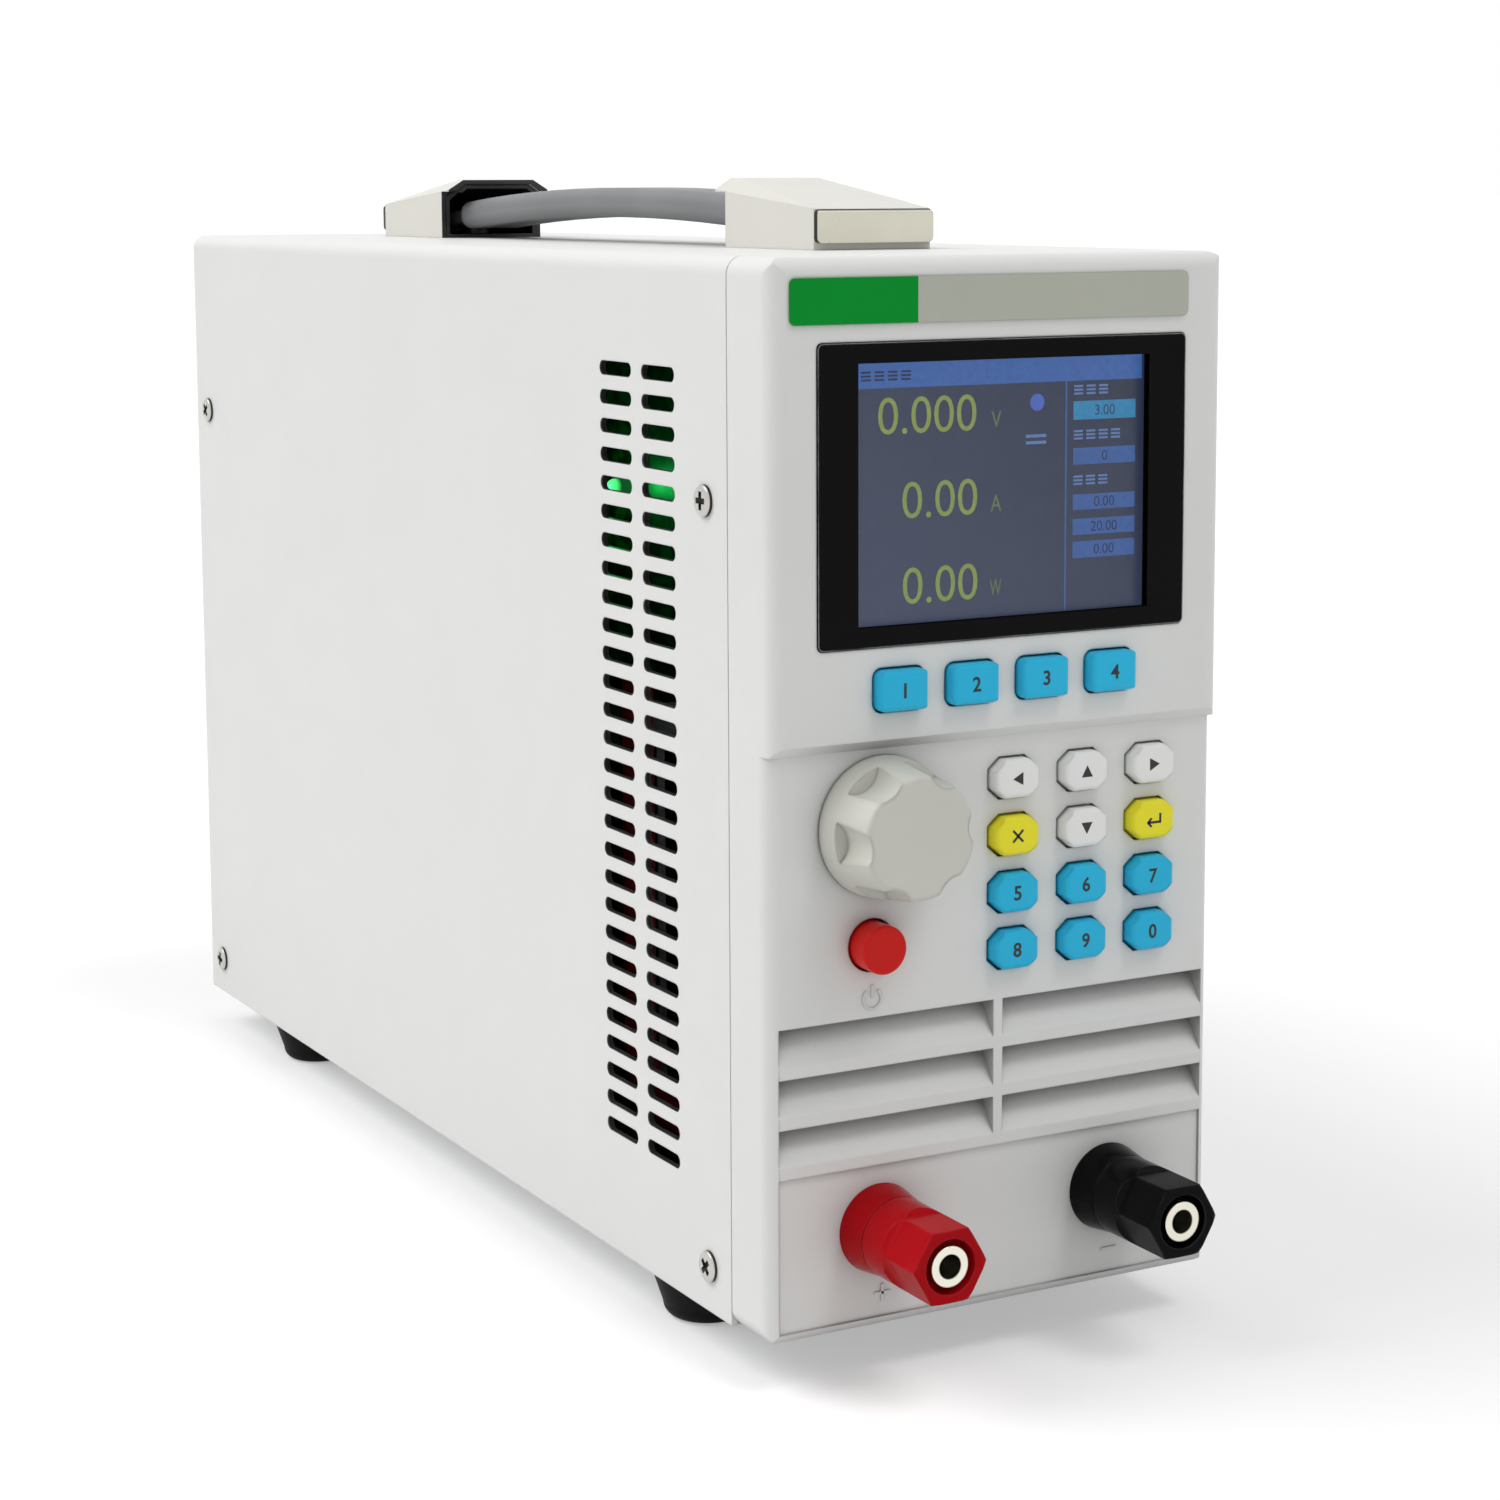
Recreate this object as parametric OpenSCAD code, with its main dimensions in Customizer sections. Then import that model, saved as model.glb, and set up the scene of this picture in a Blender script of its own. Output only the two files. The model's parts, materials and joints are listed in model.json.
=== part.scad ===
// Bench dc electronic load: sheet metal case, moulded front bezel with louvres, strap handle,
// two binding posts, rotary knob, push keys and a rear fan. Sizes are in millimetres, +Z is up,
// the front faces -Y, and the origin lies on the ground under the middle of the outline.
// Inside the modules y = 0 is the seam between bezel and case, and z = 0 is the case bottom.

/* [Case] */
// Width of the sheet metal case
case_w = 88; // [80:1:100]
// Height of the case without its feet
case_h = 178; // [160:1:200]
// Depth of the case from the front seam to the rear face
case_d = 265; // [255:1:320]
// Thickness of the sheet metal
sheet_t = 1.2; // [0.8:0.1:1.6]
// Outer bend radius of the cover's top edges
bend_r = 3; // [2:0.5:6]
// Gap between nested sheets and at the front seam
fit_gap = 0.2; // [0.1:0.05:0.4]
// Width of the flanges that take the cover screws
flange_w = 13; // [11:1:18]

/* [Vents] */
// Number of slots in each vent column
vent_rows = 28; // [10:1:29]
// Height from one slot to the next
vent_pitch = 5; // [4:0.1:5.2]
// Length of a slot
vent_len = 12.3; // [8:0.1:14]
// Height of a slot
vent_h = 2.5; // [1.5:0.1:3.5]
// Middle of the front column behind the seam
vent_front_y = 25; // [22:1:40]
// Distance between the two columns
vent_column_pitch = 16.2; // [15:0.1:20]
// Depth of the top slot below the case top
vent_drop = 20; // [12:1:25]

/* [Feet] */
// Height of a rubber foot
foot_h = 8.5; // [7:0.5:15]
// Foot diameter at the case
foot_top_d = 20; // [17:1:26]
// Foot diameter near the ground
foot_bottom_d = 16; // [14:1:17]
// Rounding of the foot's lower edge
foot_edge_r = 2.5; // [1:0.5:3]
// Distance of a foot's middle from the case side
foot_inset = 10.5; // [10.5:0.5:20]
// Middle of the front feet behind the seam
foot_front_y = 29; // [20:1:60]
// Middle of the rear feet before the rear face
foot_rear_inset = 43; // [20:1:60]

/* [Bezel] */
// Depth of the lower part of the bezel
bezel_d = 13; // [12:0.5:18]
// Wall thickness of the bezel
bezel_wall = 2; // [1.8:0.1:2.6]
// Rounding of the bezel's front edges
bezel_edge_r = 3; // [1:0.5:4]
// How far the screen part stands out from the lower part
screen_step = 1.6; // [0.5:0.1:3]
// Depth of the step below the case top
step_drop = 78.2; // [77:0.1:80]
// Depth of the recessed terminal panel
recess_depth = 0.6; // [0.2:0.1:0.8]
// Diameter of the screw bosses inside the bezel
boss_d = 6; // [5.4:0.1:6.4]
// Distance of the screw bosses from the case side
boss_inset = 5.4; // [5.3:0.1:5.6]

/* [Louvres] */
// Number of louvre openings in each half
louvre_rows = 3; // [2:1:3]
// Height from one louvre to the next
louvre_pitch = 8.4; // [7:0.1:9]
// Depth of the louvres' top edge below the case top
louvre_drop = 124.6; // [124:0.1:128]
// Height of the upright front lip of a slat
lip_h = 2; // [1:0.1:3]
// Thickness of a slat
slat_t = 1.5; // [1:0.1:2]
// How far a slat leans back into the bezel
slat_lean = 4.6; // [3:0.1:5]
// How far a slat's top reaches behind the lip above it
slat_lap = 0.4; // [0:0.1:0.6]
// Width of the upright bar between the halves
mullion_w = 1.8; // [1.2:0.1:4]

/* [Display] */
// Width of the black window
lens_w = 71.2; // [60:0.1:72]
// Height of the black window
lens_h = 49.2; // [44:0.1:52]
// Thickness of the window
lens_t = 1.5; // [1:0.1:1.6]
// How far the window stands proud of the bezel
lens_proud = 0.3; // [0:0.1:0.5]
// Corner radius of the window
lens_r = 1; // [0.5:0.5:3]
// Middle of the window below the case top
lens_drop = 38.3; // [38:0.1:39]
// Width of the lit area
screen_w = 56; // [50:0.1:57]
// Height of the lit area
screen_h = 42.3; // [38:0.1:43]
// Border of the display module round the lit area
module_border = 5; // [3:0.5:6]
// Thickness of the display module
module_t = 4; // [3:0.1:4.5]

/* [Name strip] */
// Length of the bare strip above the window
strip_w = 76.5; // [60:0.5:78]
// Height of the strip
strip_h = 7.4; // [5:0.1:8]
// Thickness of the strip
strip_t = 0.5; // [0.3:0.1:0.8]
// Distance of the strip's left end from the case side
strip_inset = 3.4; // [3:0.1:6]
// Middle of the strip below the case top
strip_drop = 7; // [6.5:0.1:7.5]

/* [Keys] */
// Width of a keypad key
key_w = 8.8; // [7:0.1:9.6]
// Height of a keypad key
key_h = 6.6; // [5:0.1:6.8]
// Corner cut of a keypad key along its width
key_cut_w = 2.2; // [1:0.1:3]
// Corner cut of a keypad key along its height
key_cut_h = 1.9; // [1:0.1:2.2]
// Width of a soft key
soft_w = 9.2; // [7:0.1:10]
// Height of a soft key
soft_h = 6.8; // [5:0.1:6.8]
// Corner radius of a soft key
soft_r = 1.4; // [1:0.1:2]
// Rounding of the keys' front edges
key_edge_r = 0.9; // [0.4:0.1:1.2]
// How far the keys stand out of the bezel
key_out = 2.2; // [1.5:0.1:3]
// Travel of a key
key_travel = 1; // [0.5:0.1:1.4]
// Clearance round a key in its hole
key_gap = 0.35; // [0.25:0.05:0.5]
// Width of the retaining flange round a key
key_flange_w = 1; // [0.8:0.1:1.2]
// Thickness of the retaining flange
key_flange_t = 1; // [0.6:0.1:1.2]
// Diameter of a key's stem
key_stem_d = 4.4; // [3:0.1:5]
// Left keypad column from the middle
key_x = 2.4; // [2:0.1:4]
// Column distance of the keypad
key_pitch_x = 13.8; // [13:0.1:14]
// Row distance of the keypad
key_pitch_z = 9.7; // [9.4:0.1:9.8]
// Top keypad row below the case top
key_drop = 86.9; // [86.5:0.1:87.5]
// Distance between soft keys
soft_pitch = 13.7; // [13:0.1:14.5]
// Row of the soft keys below the case top
soft_drop = 70; // [69.5:0.1:70.5]
// Thickness of the rubber keypad mat
mat_t = 1; // [0.6:0.1:1.4]

/* [Knob] */
// Knob diameter at its base
knob_base_d = 23.6; // [20:0.1:25]
// Knob diameter at its face
knob_face_d = 20.6; // [18:0.1:21]
// Height of the knob
knob_h = 12.6; // [11:0.1:16]
// Gap between knob and bezel
knob_gap = 0.4; // [0.3:0.1:0.8]
// Number of finger scallops
knob_scallops = 6; // [4:1:9]
// Radius of a finger scallop
scallop_r = 4.2; // [3:0.1:5]
// Depth of a scallop at the face
scallop_depth = 1.3; // [0.6:0.1:1.5]
// Height of the plain skirt under the scallops
knob_skirt = 4.5; // [4:0.1:6]
// Knob middle left of the case middle
knob_x = 23; // [22:0.1:24]
// Knob middle below the lower edge of the screen part
knob_drop = 12.8; // [12.5:0.1:13.5]
// Diameter of the encoder shaft
shaft_d = 6; // [5:0.1:6.2]
// Radial clearance of the shaft in its bushing
shaft_gap = 0.05; // [0.02:0.01:0.08]
// Outer diameter of the encoder bushing
bushing_d = 9; // [8.5:0.1:10]
// Width of the square encoder body
encoder_w = 12; // [11:0.5:13]

/* [Power button] */
// Diameter of the round button
button_d = 8.2; // [6:0.1:9]
// How far the latched button stands out
button_out = 4.5; // [3:0.1:6]
// Travel outwards when it unlatches
button_release = 2.5; // [1:0.1:2.6]
// Travel inwards past the latch
button_press = 0.8; // [0.4:0.1:1]
// Radial clearance of the button in its hole
button_gap = 0.4; // [0.3:0.1:0.6]
// Button middle left of the case middle
button_x = 24.6; // [23:0.1:25]
// Button middle below the case top
button_drop = 112.4; // [112:0.1:113]
// Width of the square switch body
switch_w = 8; // [7:0.1:9]
// Length of the switch body
switch_len = 12; // [10:0.5:16]

/* [Binding posts] */
// Distance between the two posts
post_pitch = 45.6; // [42:0.1:48]
// Middle of the posts below the louvres
post_drop = 11; // [10.5:0.1:12]
// How far the caps stand out of the terminal panel
post_out = 22.5; // [21:0.1:26]
// Base flange diameter at the panel
flange_d = 15.3; // [14.5:0.1:16]
// Length of the base flange
flange_len = 5.9; // [4.5:0.1:6.5]
// Diameter of the round barrel of a cap
barrel_d = 13.8; // [13:0.1:15]
// Width across the flats of a cap's hexagon end
hex_flats = 12; // [11:0.1:12.6]
// Length of the hexagon end
hex_len = 8; // [7:0.1:10]
// Radius of the run-out at the end of a flat
runout_r = 3; // [2:0.5:5]
// Diameter of the recess round the tube
cup_d = 9.2; // [8:0.1:9.6]
// Depth of that recess
cup_depth = 3.5; // [2:0.1:5]
// Outer diameter of the nickel tube
tube_d = 6.8; // [6:0.1:7]
// Bore of the tube for a 4 mm plug
jack_d = 4.1; // [4:0.05:4.3]
// Depth of that bore
jack_depth = 19; // [15:1:22]
// How far the tube's end lies behind the cap's face
tube_set_back = 0.2; // [0.2:0.1:1]
// Radial clearance of the cap on the tube
thread_gap = 0.08; // [0.05:0.01:0.1]
// Rest gap between cap and base
post_gap = 0.3; // [0.3:0.1:0.6]
// Diameter of the pressure washer
washer_d = 11; // [9:0.1:12]
// Thickness of the pressure washer
washer_t = 1; // [0.8:0.1:1.5]
// Width across the flats of a post nut
nut_flats = 10; // [9:0.1:11]
// Thickness of a post nut
nut_t = 4; // [3:0.1:5]
// Length of the tube behind the panel's inner face
tube_tail = 15; // [13:0.5:18]

/* [Leads] */
// Diameter of the insulated leads
lead_d = 6; // [5:0.1:6.2]
// Bend radius of the red lead
lead_bend = 10; // [8:0.5:12]
// Thickness of the sleeve over a post's tail
sleeve_t = 0.8; // [0.6:0.1:1]
// Overlap of the sleeve on the tail
sleeve_lap = 4; // [3:0.5:5]

/* [Handle] */
// Length of the handle over both trim plates
handle_len = 200; // [180:1:210]
// Front trim plate behind the seam
handle_y = 27.5; // [20:0.5:40]
// Width of an end cap
cap_w = 23.4; // [22:0.1:26]
// Length of an end cap
cap_len = 32.8; // [31:0.1:36]
// Height of an end cap at its outer end
cap_low = 7.1; // [7:0.1:8]
// Height of an end cap at the strap
cap_high = 12.5; // [12.5:0.1:14]
// Height of the cap's shoulders at the strap
cap_shoulder = 10; // [9:0.1:11]
// Width of the flat on top of a cap at the strap
cap_flat_w = 15.2; // [14:0.1:17]
// Wall of an end cap
cap_wall = 1; // [0.8:0.1:1]
// Wall of the black bracket inside a cap
bracket_wall = 0.8; // [0.6:0.1:0.8]
// How far a cap's crown reaches over the strap
hood_lip = 4; // [3:0.1:5]
// Clearance between cap and bracket
cap_gap = 0.1; // [0.05:0.05:0.15]
// Thickness of a trim plate
trim_t = 1.2; // [0.8:0.1:1.6]
// Gap between a trim plate and the cover
trim_lift = 1.2; // [0.6:0.1:1.6]
// Width of the strap
strap_w = 15; // [13:0.1:15.5]
// Thickness of the strap
strap_t = 5.8; // [5:0.1:6]
// Rounding of the strap's edges
strap_r = 2.4; // [1.5:0.1:2.4]
// Radius of the strap's arch
strap_arch_r = 900; // [850:10:1200]
// Height of the arch's middle line above the cover
strap_mid = 7.9; // [7.7:0.1:8]
// Shift of the arch's crown towards the front
strap_shift = 8; // [0:0.5:8]
// Free lift of the strap in its brackets
strap_lift = 1.2; // [0.6:0.1:1.2]
// Thickness of the strap's end tongues
tongue_t = 3; // [2:0.1:3]
// Width of the end tongues
tongue_w = 12; // [11:0.1:13]
// Distance of a strap end from the trim plate's face
tongue_y = 18.5; // [18:0.1:20]
// Distance of a strap pin from the trim plate's face
pin_y = 25.5; // [25:0.1:26]
// Diameter of a strap pin
pin_d = 6.4; // [6:0.1:6.6]
// Height of a strap pin
pin_h = 7.8; // [7:0.1:8]
// Sideways clearance of a pin in its slot
pin_gap = 0.3; // [0.3:0.1:0.6]
// Lengthwise play of a pin in its slot
pin_play = 3; // [2:0.1:3]

/* [Cooling] */
// Gap between the fan and the case side
fan_side = 4; // [3.8:0.1:6]
// Depth of the fan
fan_d = 25; // [20:1:26]
// Height of the fan's lower edge above the case bottom
fan_low = 10; // [10:0.5:14]
// Narrowest rim round the fan's air passage
fan_rim = 2; // [2:0.1:4]
// Diameter of the fan's hub
hub_d = 33; // [28:0.5:36]
// Number of fan blades
blade_count = 7; // [5:1:9]
// Thickness of a blade
blade_t = 1.6; // [1:0.1:2]
// Slant of a blade
blade_angle = 42; // [35:1:48]
// Gap between blade tips and passage
blade_gap = 1; // [0.6:0.1:2]
// Distance of the fan's screws from its sides
fan_screw_inset = 4.25; // [4.25:0.05:5]
// Wire diameter of the fan guard
guard_wire_d = 1.6; // [1.2:0.1:2]
// Number of rings in the guard
guard_rings = 4; // [3:1:5]
// Front end of the heat sink behind the seam
sink_y = 80; // [78:1:90]
// Length of the heat sink
sink_len = 135; // [130:1:140]
// Width of the heat sink
sink_w = 74; // [70:1:76]
// Height of the heat sink's top above the case bottom
sink_h = 92; // [88:1:94]
// Thickness of the heat sink's base
sink_base = 8; // [6:0.5:10]
// Number of fins
fin_count = 12; // [8:1:16]
// Thickness of a fin
fin_t = 1.6; // [1:0.1:2.5]
// Gap under the inner fins
fin_floor = 16; // [10:1:20]
// Number of power transistors
mosfet_count = 4; // [2:1:4]
// Distance between the transistors
mosfet_pitch = 19; // [18:0.5:19]

/* [Boards] */
// Thickness of the circuit boards
board_t = 1.6; // [1:0.1:2]
// Distance from the bezel's lower inner face to the front board
board_room = 5.1; // [5:0.1:6]
// Power board left of the case middle
board_x = 28; // [26:0.5:30]
// Front edge of the power board behind the seam
board_y = 40; // [38:1:44]
// Length of the power board
board_len = 190; // [180:1:195]
// Height of the power board's lower edge
board_low = 100; // [98:1:102]
// Height of the power board's top edge
board_high = 165; // [150:1:165]
// Depth of the groove that holds the power board
groove_depth = 2; // [1:0.1:3]
// Diameter of the status lamp
lamp_d = 3; // [2:0.1:5]
// Length of the status lamp
lamp_len = 5; // [4:0.1:6]
// Status lamp behind the seam
lamp_y = 66; // [46:1:80]
// Height of the status lamp
lamp_z = 135; // [125:1:150]
// Width of the transformer's core
core_w = 36; // [30:1:40]
// Length of the transformer's core
core_len = 40; // [34:1:44]
// Height of the transformer's core
core_h = 34; // [28:1:40]

/* [Rear connectors] */
// Width of the mains inlet's flange
inlet_w = 30.5; // [30:0.1:33]
// Height of the mains inlet's flange
inlet_h = 23.5; // [23:0.1:26]
// Thickness of that flange
inlet_flange_t = 2; // [1.5:0.1:3]
// Width of the mouth of the mains inlet
mouth_w = 24.6; // [24:0.1:25]
// Height of the mouth of the mains inlet
mouth_h = 16.4; // [16:0.1:17]
// Depth of the mouth
mouth_depth = 16; // [14:0.5:18]
// Mains inlet left of the case middle
inlet_x = 14; // [10:0.5:16]
// Mains inlet above the case bottom
inlet_z = 118; // [112:1:124]
// Width of the serial port's flange
serial_w = 30.8; // [30:0.1:32]
// Height of the serial port's flange
serial_h = 12.5; // [12:0.1:14]
// How far the serial port's shell stands out
serial_out = 6; // [5:0.1:7]
// Serial port right of the case middle
serial_x = 17; // [14:0.5:20]
// Serial port above the case bottom
serial_z = 150; // [146:1:154]

/* [Screws] */
// Thread diameter of the small screws
small_d = 3; // [2.5:0.1:3]
// Head diameter of the small screws
small_head_d = 5.4; // [5:0.1:5.6]
// Head height of the small screws
small_head_h = 1.6; // [1.2:0.1:2]
// Length of the small screws
small_len = 6; // [5:0.5:6]
// Thread diameter of the large screws
large_d = 4; // [3.5:0.1:4]
// Head diameter of the large screws
large_head_d = 7.2; // [6.5:0.1:7.4]
// Head height of the large screws
large_head_h = 2.4; // [2:0.1:2.8]
// Radial clearance round the screws
screw_gap = 0.1; // [0.05:0.05:0.2]
// Front cover screws behind the seam, and rear ones before the rear face
cover_screw_y = 8; // [7:0.1:9]
// Height of the upper cover screws
cover_screw_high = 138; // [130:1:150]
// Height of the lower cover screws
cover_screw_low = 8; // [7:0.1:10]

/* [Hidden] */
$fn = 48;
eps = 0.01;
over = 1;
sharp_r = 0.3;
soft_keys = 4;
key_columns = 3;
key_rows = 4;

// Case width and height that the places above are given for, and the shares of them that are built
plan_w = 88;
plan_h = 178;
wide = case_w / plan_w;
tall = case_h / plan_h;

// Sizes and places that follow the case's width and height
glass_w = lens_w * wide;
glass_h = lens_h * tall;
lit_w = screen_w * wide;
lit_h = screen_h * tall;
strip_len = strip_w * wide;
louvre_step = louvre_pitch * tall;
soft_step = soft_pitch * wide;
keypad_x = key_x * wide;
key_step_x = key_pitch_x * wide;
key_step_z = key_pitch_z * tall;
knob_at = knob_x * wide;
button_at = button_x * wide;
vent_top = case_h - vent_drop * tall;
vent_step = vent_pitch * tall;
sink_wide = sink_w * wide;
sink_top = sink_h * tall;
board_at = board_x * wide;
board_foot = board_low * tall;
board_head = board_high * tall;
lamp_up = lamp_z * tall;
inlet_at = inlet_x * wide;
inlet_up = inlet_z * tall;
serial_at = serial_x * wide;
serial_up = serial_z * tall;

// Whole outline: the caps reach furthest to the front, the serial port to the rear
front_reach = bezel_d - recess_depth + post_out;
rear_reach = case_d + serial_out;
seam_y = (front_reach - rear_reach) / 2;

// Nested outlines of the case
inner_x = case_w / 2 - sheet_t - fit_gap;
inner_top = case_h - sheet_t - fit_gap;
far = case_w + case_h + case_d;

// Bezel planes and heights
front_y = -bezel_d;
screen_y = front_y - screen_step;
wall_y = front_y + bezel_wall;
screen_wall_y = screen_y + bezel_wall;
side_in = case_w / 2 - bezel_wall;
step_z = case_h - step_drop * tall;
louvre_top = case_h - louvre_drop * tall;
louvre_low = louvre_top - louvre_rows * louvre_step;
recess_y = front_y + recess_depth;
lens_z = case_h - lens_drop * tall;
strip_x = -case_w / 2 + strip_inset;
strip_z = case_h - strip_drop - strip_h / 2;
snug_gap = 0.15;
lens_ledge = 5;
panel_rise = 0.5;

// Front board and keys
board_front = wall_y + board_room;
board_back = board_front + board_t;
board_margin = 2;
board_side_gap = 1;
board_top_drop = 10;
board_low_z = louvre_top + board_margin;
board_top_z = case_h - board_top_drop;
boss_x = case_w / 2 - boss_inset;
boss_margin = 0.7;
board_boss_z = [board_low_z + boss_d / 2, board_top_z - boss_d / 2];
bezel_boss_z = [louvre_low - boss_d / 2 - boss_margin, case_h - bezel_wall - boss_d / 2 - boss_margin];
key_seat_gap = 0.3;
stem_end = board_front - key_travel - snug_gap;
soft_z = case_h - soft_drop * tall;
keypad_z = case_h - key_drop * tall;

// Knob and button
knob_z = step_z - screen_step - knob_drop;
knob_y = front_y - knob_gap;
bore_gap = 0.03;
bushing_reach = 3;
bushing_room = 1;
shaft_depth = 8;
shaft_seat = 1;
scallop_turn = 5;
button_z = case_h - button_drop * tall;
button_flange_t = 0.8;
button_flange_w = 0.8;
button_flange_y = wall_y + button_release + key_seat_gap;
plunger_d = 3;
plunger_len = 5;
switch_y = button_flange_y + button_flange_t + button_press + key_seat_gap;

// Binding posts and leads
post_x = post_pitch * wide / 2;
post_z = louvre_low - post_drop * tall;
post_face = recess_y - post_out;
base_face = recess_y - flange_len;
cap_back = base_face - post_gap;
spigot_d = 10;
tube_end = wall_y + tube_tail;
lead_start = tube_end;
lead_up_y = sink_y - fit_gap - lead_d / 2 - lead_bend;
lead_terminal_z = board_foot + lead_bend;
terminal_y = lead_up_y + 2 * lead_bend;
terminal_w = 14;

// Handle places measured from a trim plate's face
handle_mid = handle_y + handle_len / 2;
cap_start = trim_t;
cap_end = trim_t + cap_len;
hood_end = cap_end + hood_lip;
crown_y = handle_mid - strap_shift;
neck_gap = 1;
pin_roof = 1.4;
screw_tail = 3;
head_gap = 0.5;
arch_z = case_h + strap_mid - strap_arch_r;

// Rear panel and cooling
rear_in = case_d - sheet_t;
axle_d = 3;
hub_wall = 2;
inlet_wall = 1.5;
inlet_r = 2;
serial_ear = 6.5;
serial_rim = 2.25;
serial_room = 0.5;
serial_shell_w = serial_w - 2 * serial_ear;
serial_shell_h = serial_h - 2 * serial_rim;
fan_w = case_w - 2 * fan_side;
fan_bore_d = fan_w - 2 * fan_rim;
fan_screw_pitch = fan_w - 2 * fan_screw_inset;
fan_y = rear_in - fit_gap - fan_d;
fan_z = fan_low + fan_w / 2;
sink_fin_pitch = (sink_wide - fin_t) / (fin_count - 1);

// Puts what is drawn from the seam and the case bottom into the part's frame
module place() {
    translate([0, seam_y, foot_h]) children();
}

// Extrudes a shape drawn in x and z along y
module along_y(y0, y1) {
    translate([0, y1, 0]) rotate([90, 0, 0]) linear_extrude(height = y1 - y0) children();
}

// Extrudes a shape drawn in y and z along x
module along_x(x0, x1) {
    translate([x0, 0, 0]) rotate([90, 0, 90]) linear_extrude(height = x1 - x0) children();
}

// Extrudes a shape drawn in x and y along z
module along_z(z0, z1) {
    translate([0, 0, z0]) linear_extrude(height = z1 - z0) children();
}

// Round bar along y at a given x and z
module rod_y(x, z, d, y0, y1) {
    translate([x, y0, z]) rotate([-90, 0, 0]) cylinder(d = d, h = y1 - y0);
}

// Box given by its limits
module block(x0, x1, y0, y1, z0, z1) {
    translate([x0, y0, z0]) cube([x1 - x0, y1 - y0, z1 - z0]);
}

// Repeats a piece on both sides
module both_sides() {
    children();
    mirror([1, 0, 0]) children();
}

// Rectangle with round corners about the middle
module rounded_rect(w, h, r) {
    square([w - 2 * r, h], center = true);
    square([w, h - 2 * r], center = true);
    for (sx = [-1, 1], sy = [-1, 1]) {
        translate([sx * (w / 2 - r), sy * (h / 2 - r)]) circle(r = r);
    }
}

// Slot with round ends about the middle, long in its first direction
module slot_shape(len, h) {
    square([len - h, h], center = true);
    for (s = [-1, 1]) {
        translate([s * (len - h) / 2, 0]) circle(d = h);
    }
}

// Rectangle with cut corners about the middle
module cut_rect(w, h, cw, ch) {
    polygon([
        for (s = [[1, 1], [-1, 1], [-1, -1], [1, -1]], k = [0, 1])
            let (first = (s[0] * s[1] > 0) == (k == 0))
            [s[0] * (w / 2 - (first ? 0 : cw)), s[1] * (h / 2 - (first ? ch : 0))]
    ]);
}

// Bar from y = 0 to y = -d with its two far corners rounded
module nosed_bar(w, d, r) {
    translate([-w / 2, r - d]) square([w, d - r]);
    translate([r - w / 2, -d]) square([w - 2 * r, d]);
    for (s = [-1, 1]) {
        translate([s * (w / 2 - r), r - d]) circle(r = r);
    }
}

// Case outline in x and z, drawn inwards by inset, with its lower edge at low
module case_outline(inset, low) {
    half = case_w / 2 - inset;
    top = case_h - inset;
    r = max(bend_r - inset, sharp_r);
    translate([-half, low]) square([2 * half, top - low - r]);
    translate([r - half, low]) square([2 * (half - r), top - low]);
    for (s = [-1, 1]) {
        translate([s * (half - r), top - r]) circle(r = r);
    }
}

// Where the cover screws sit, as y and z
cover_screw_places = [
    for (y = [cover_screw_y, case_d - cover_screw_y], z = [cover_screw_low, cover_screw_high * tall]) [y, z]
];

// Cuts a hole through both sides at each cover screw
module cover_screw_cuts() {
    for (p = cover_screw_places) {
        along_x(-far, far) translate(p) circle(d = small_d + 2 * screw_gap);
    }
}

// Small pan head screw along -z, its head resting on z = 0
module small_screw() {
    translate([0, 0, -small_len]) cylinder(d = small_d, h = small_len + eps);
    intersection() {
        cylinder(d = small_head_d, h = small_head_h);
        translate([0, 0, small_head_h - small_head_d]) sphere(r = small_head_d);
    }
}

// Large pan head screw along +z, its head hanging under z = 0
module large_screw(len) {
    rotate_extrude() polygon([[0, -large_head_h], [large_head_d / 2, -large_head_h], [large_head_d / 2, 0],
        [large_d / 2, 0], [large_d / 2, len], [0, len]]);
}

// Puts a piece at each handle pin, with y measured inwards from its trim plate
module at_handle_ends() {
    translate([0, handle_y, case_h]) children();
    translate([0, handle_y + handle_len, case_h]) mirror([0, 1, 0]) children();
}

module top_cover() {
    color("gainsboro") place() difference() {
        along_y(fit_gap, case_d) difference() {
            case_outline(0, 0);
            case_outline(sheet_t, -over);
        }
        along_x(-far, far) for (column = [0, 1], row = [0 : vent_rows - 1]) {
            translate([vent_front_y + column * vent_column_pitch, vent_top - row * vent_step])
                slot_shape(vent_len, vent_h);
        }
        cover_screw_cuts();
        at_handle_ends() translate([0, pin_y, -far]) cylinder(d = large_d + 2 * screw_gap, h = 2 * far);
    }
}

module chassis() {
    plate_y = fit_gap + sheet_t;
    window_x = boss_x - boss_d / 2;
    color("lightgray") place() difference() {
        union() {
            block(-inner_x, inner_x, fit_gap, rear_in - fit_gap, 0, sheet_t);
            along_y(fit_gap, plate_y) case_outline(sheet_t + fit_gap, 0);
            both_sides() {
                block(inner_x - sheet_t, inner_x, fit_gap, rear_in - flange_w - fit_gap, 0, flange_w);
                block(inner_x - sheet_t, inner_x, fit_gap, flange_w, 0, inner_top - bend_r);
            }
        }
        along_y(-over, plate_y + over) {
            translate([-window_x, board_low_z + board_margin])
                square([2 * window_x, board_top_z - board_low_z - 2 * board_margin]);
            translate([-window_x, louvre_low]) square([2 * window_x, louvre_top - louvre_low]);
            for (s = [-1, 1]) {
                translate([s * post_x, post_z]) circle(d = spigot_d);
            }
            for (s = [-1, 1], z = bezel_boss_z) {
                translate([s * boss_x, z]) circle(d = small_d + 2 * screw_gap);
            }
        }
        cover_screw_cuts();
        along_z(-over, sheet_t + over) foot_places() circle(d = large_d + 2 * screw_gap);
    }
}

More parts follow.
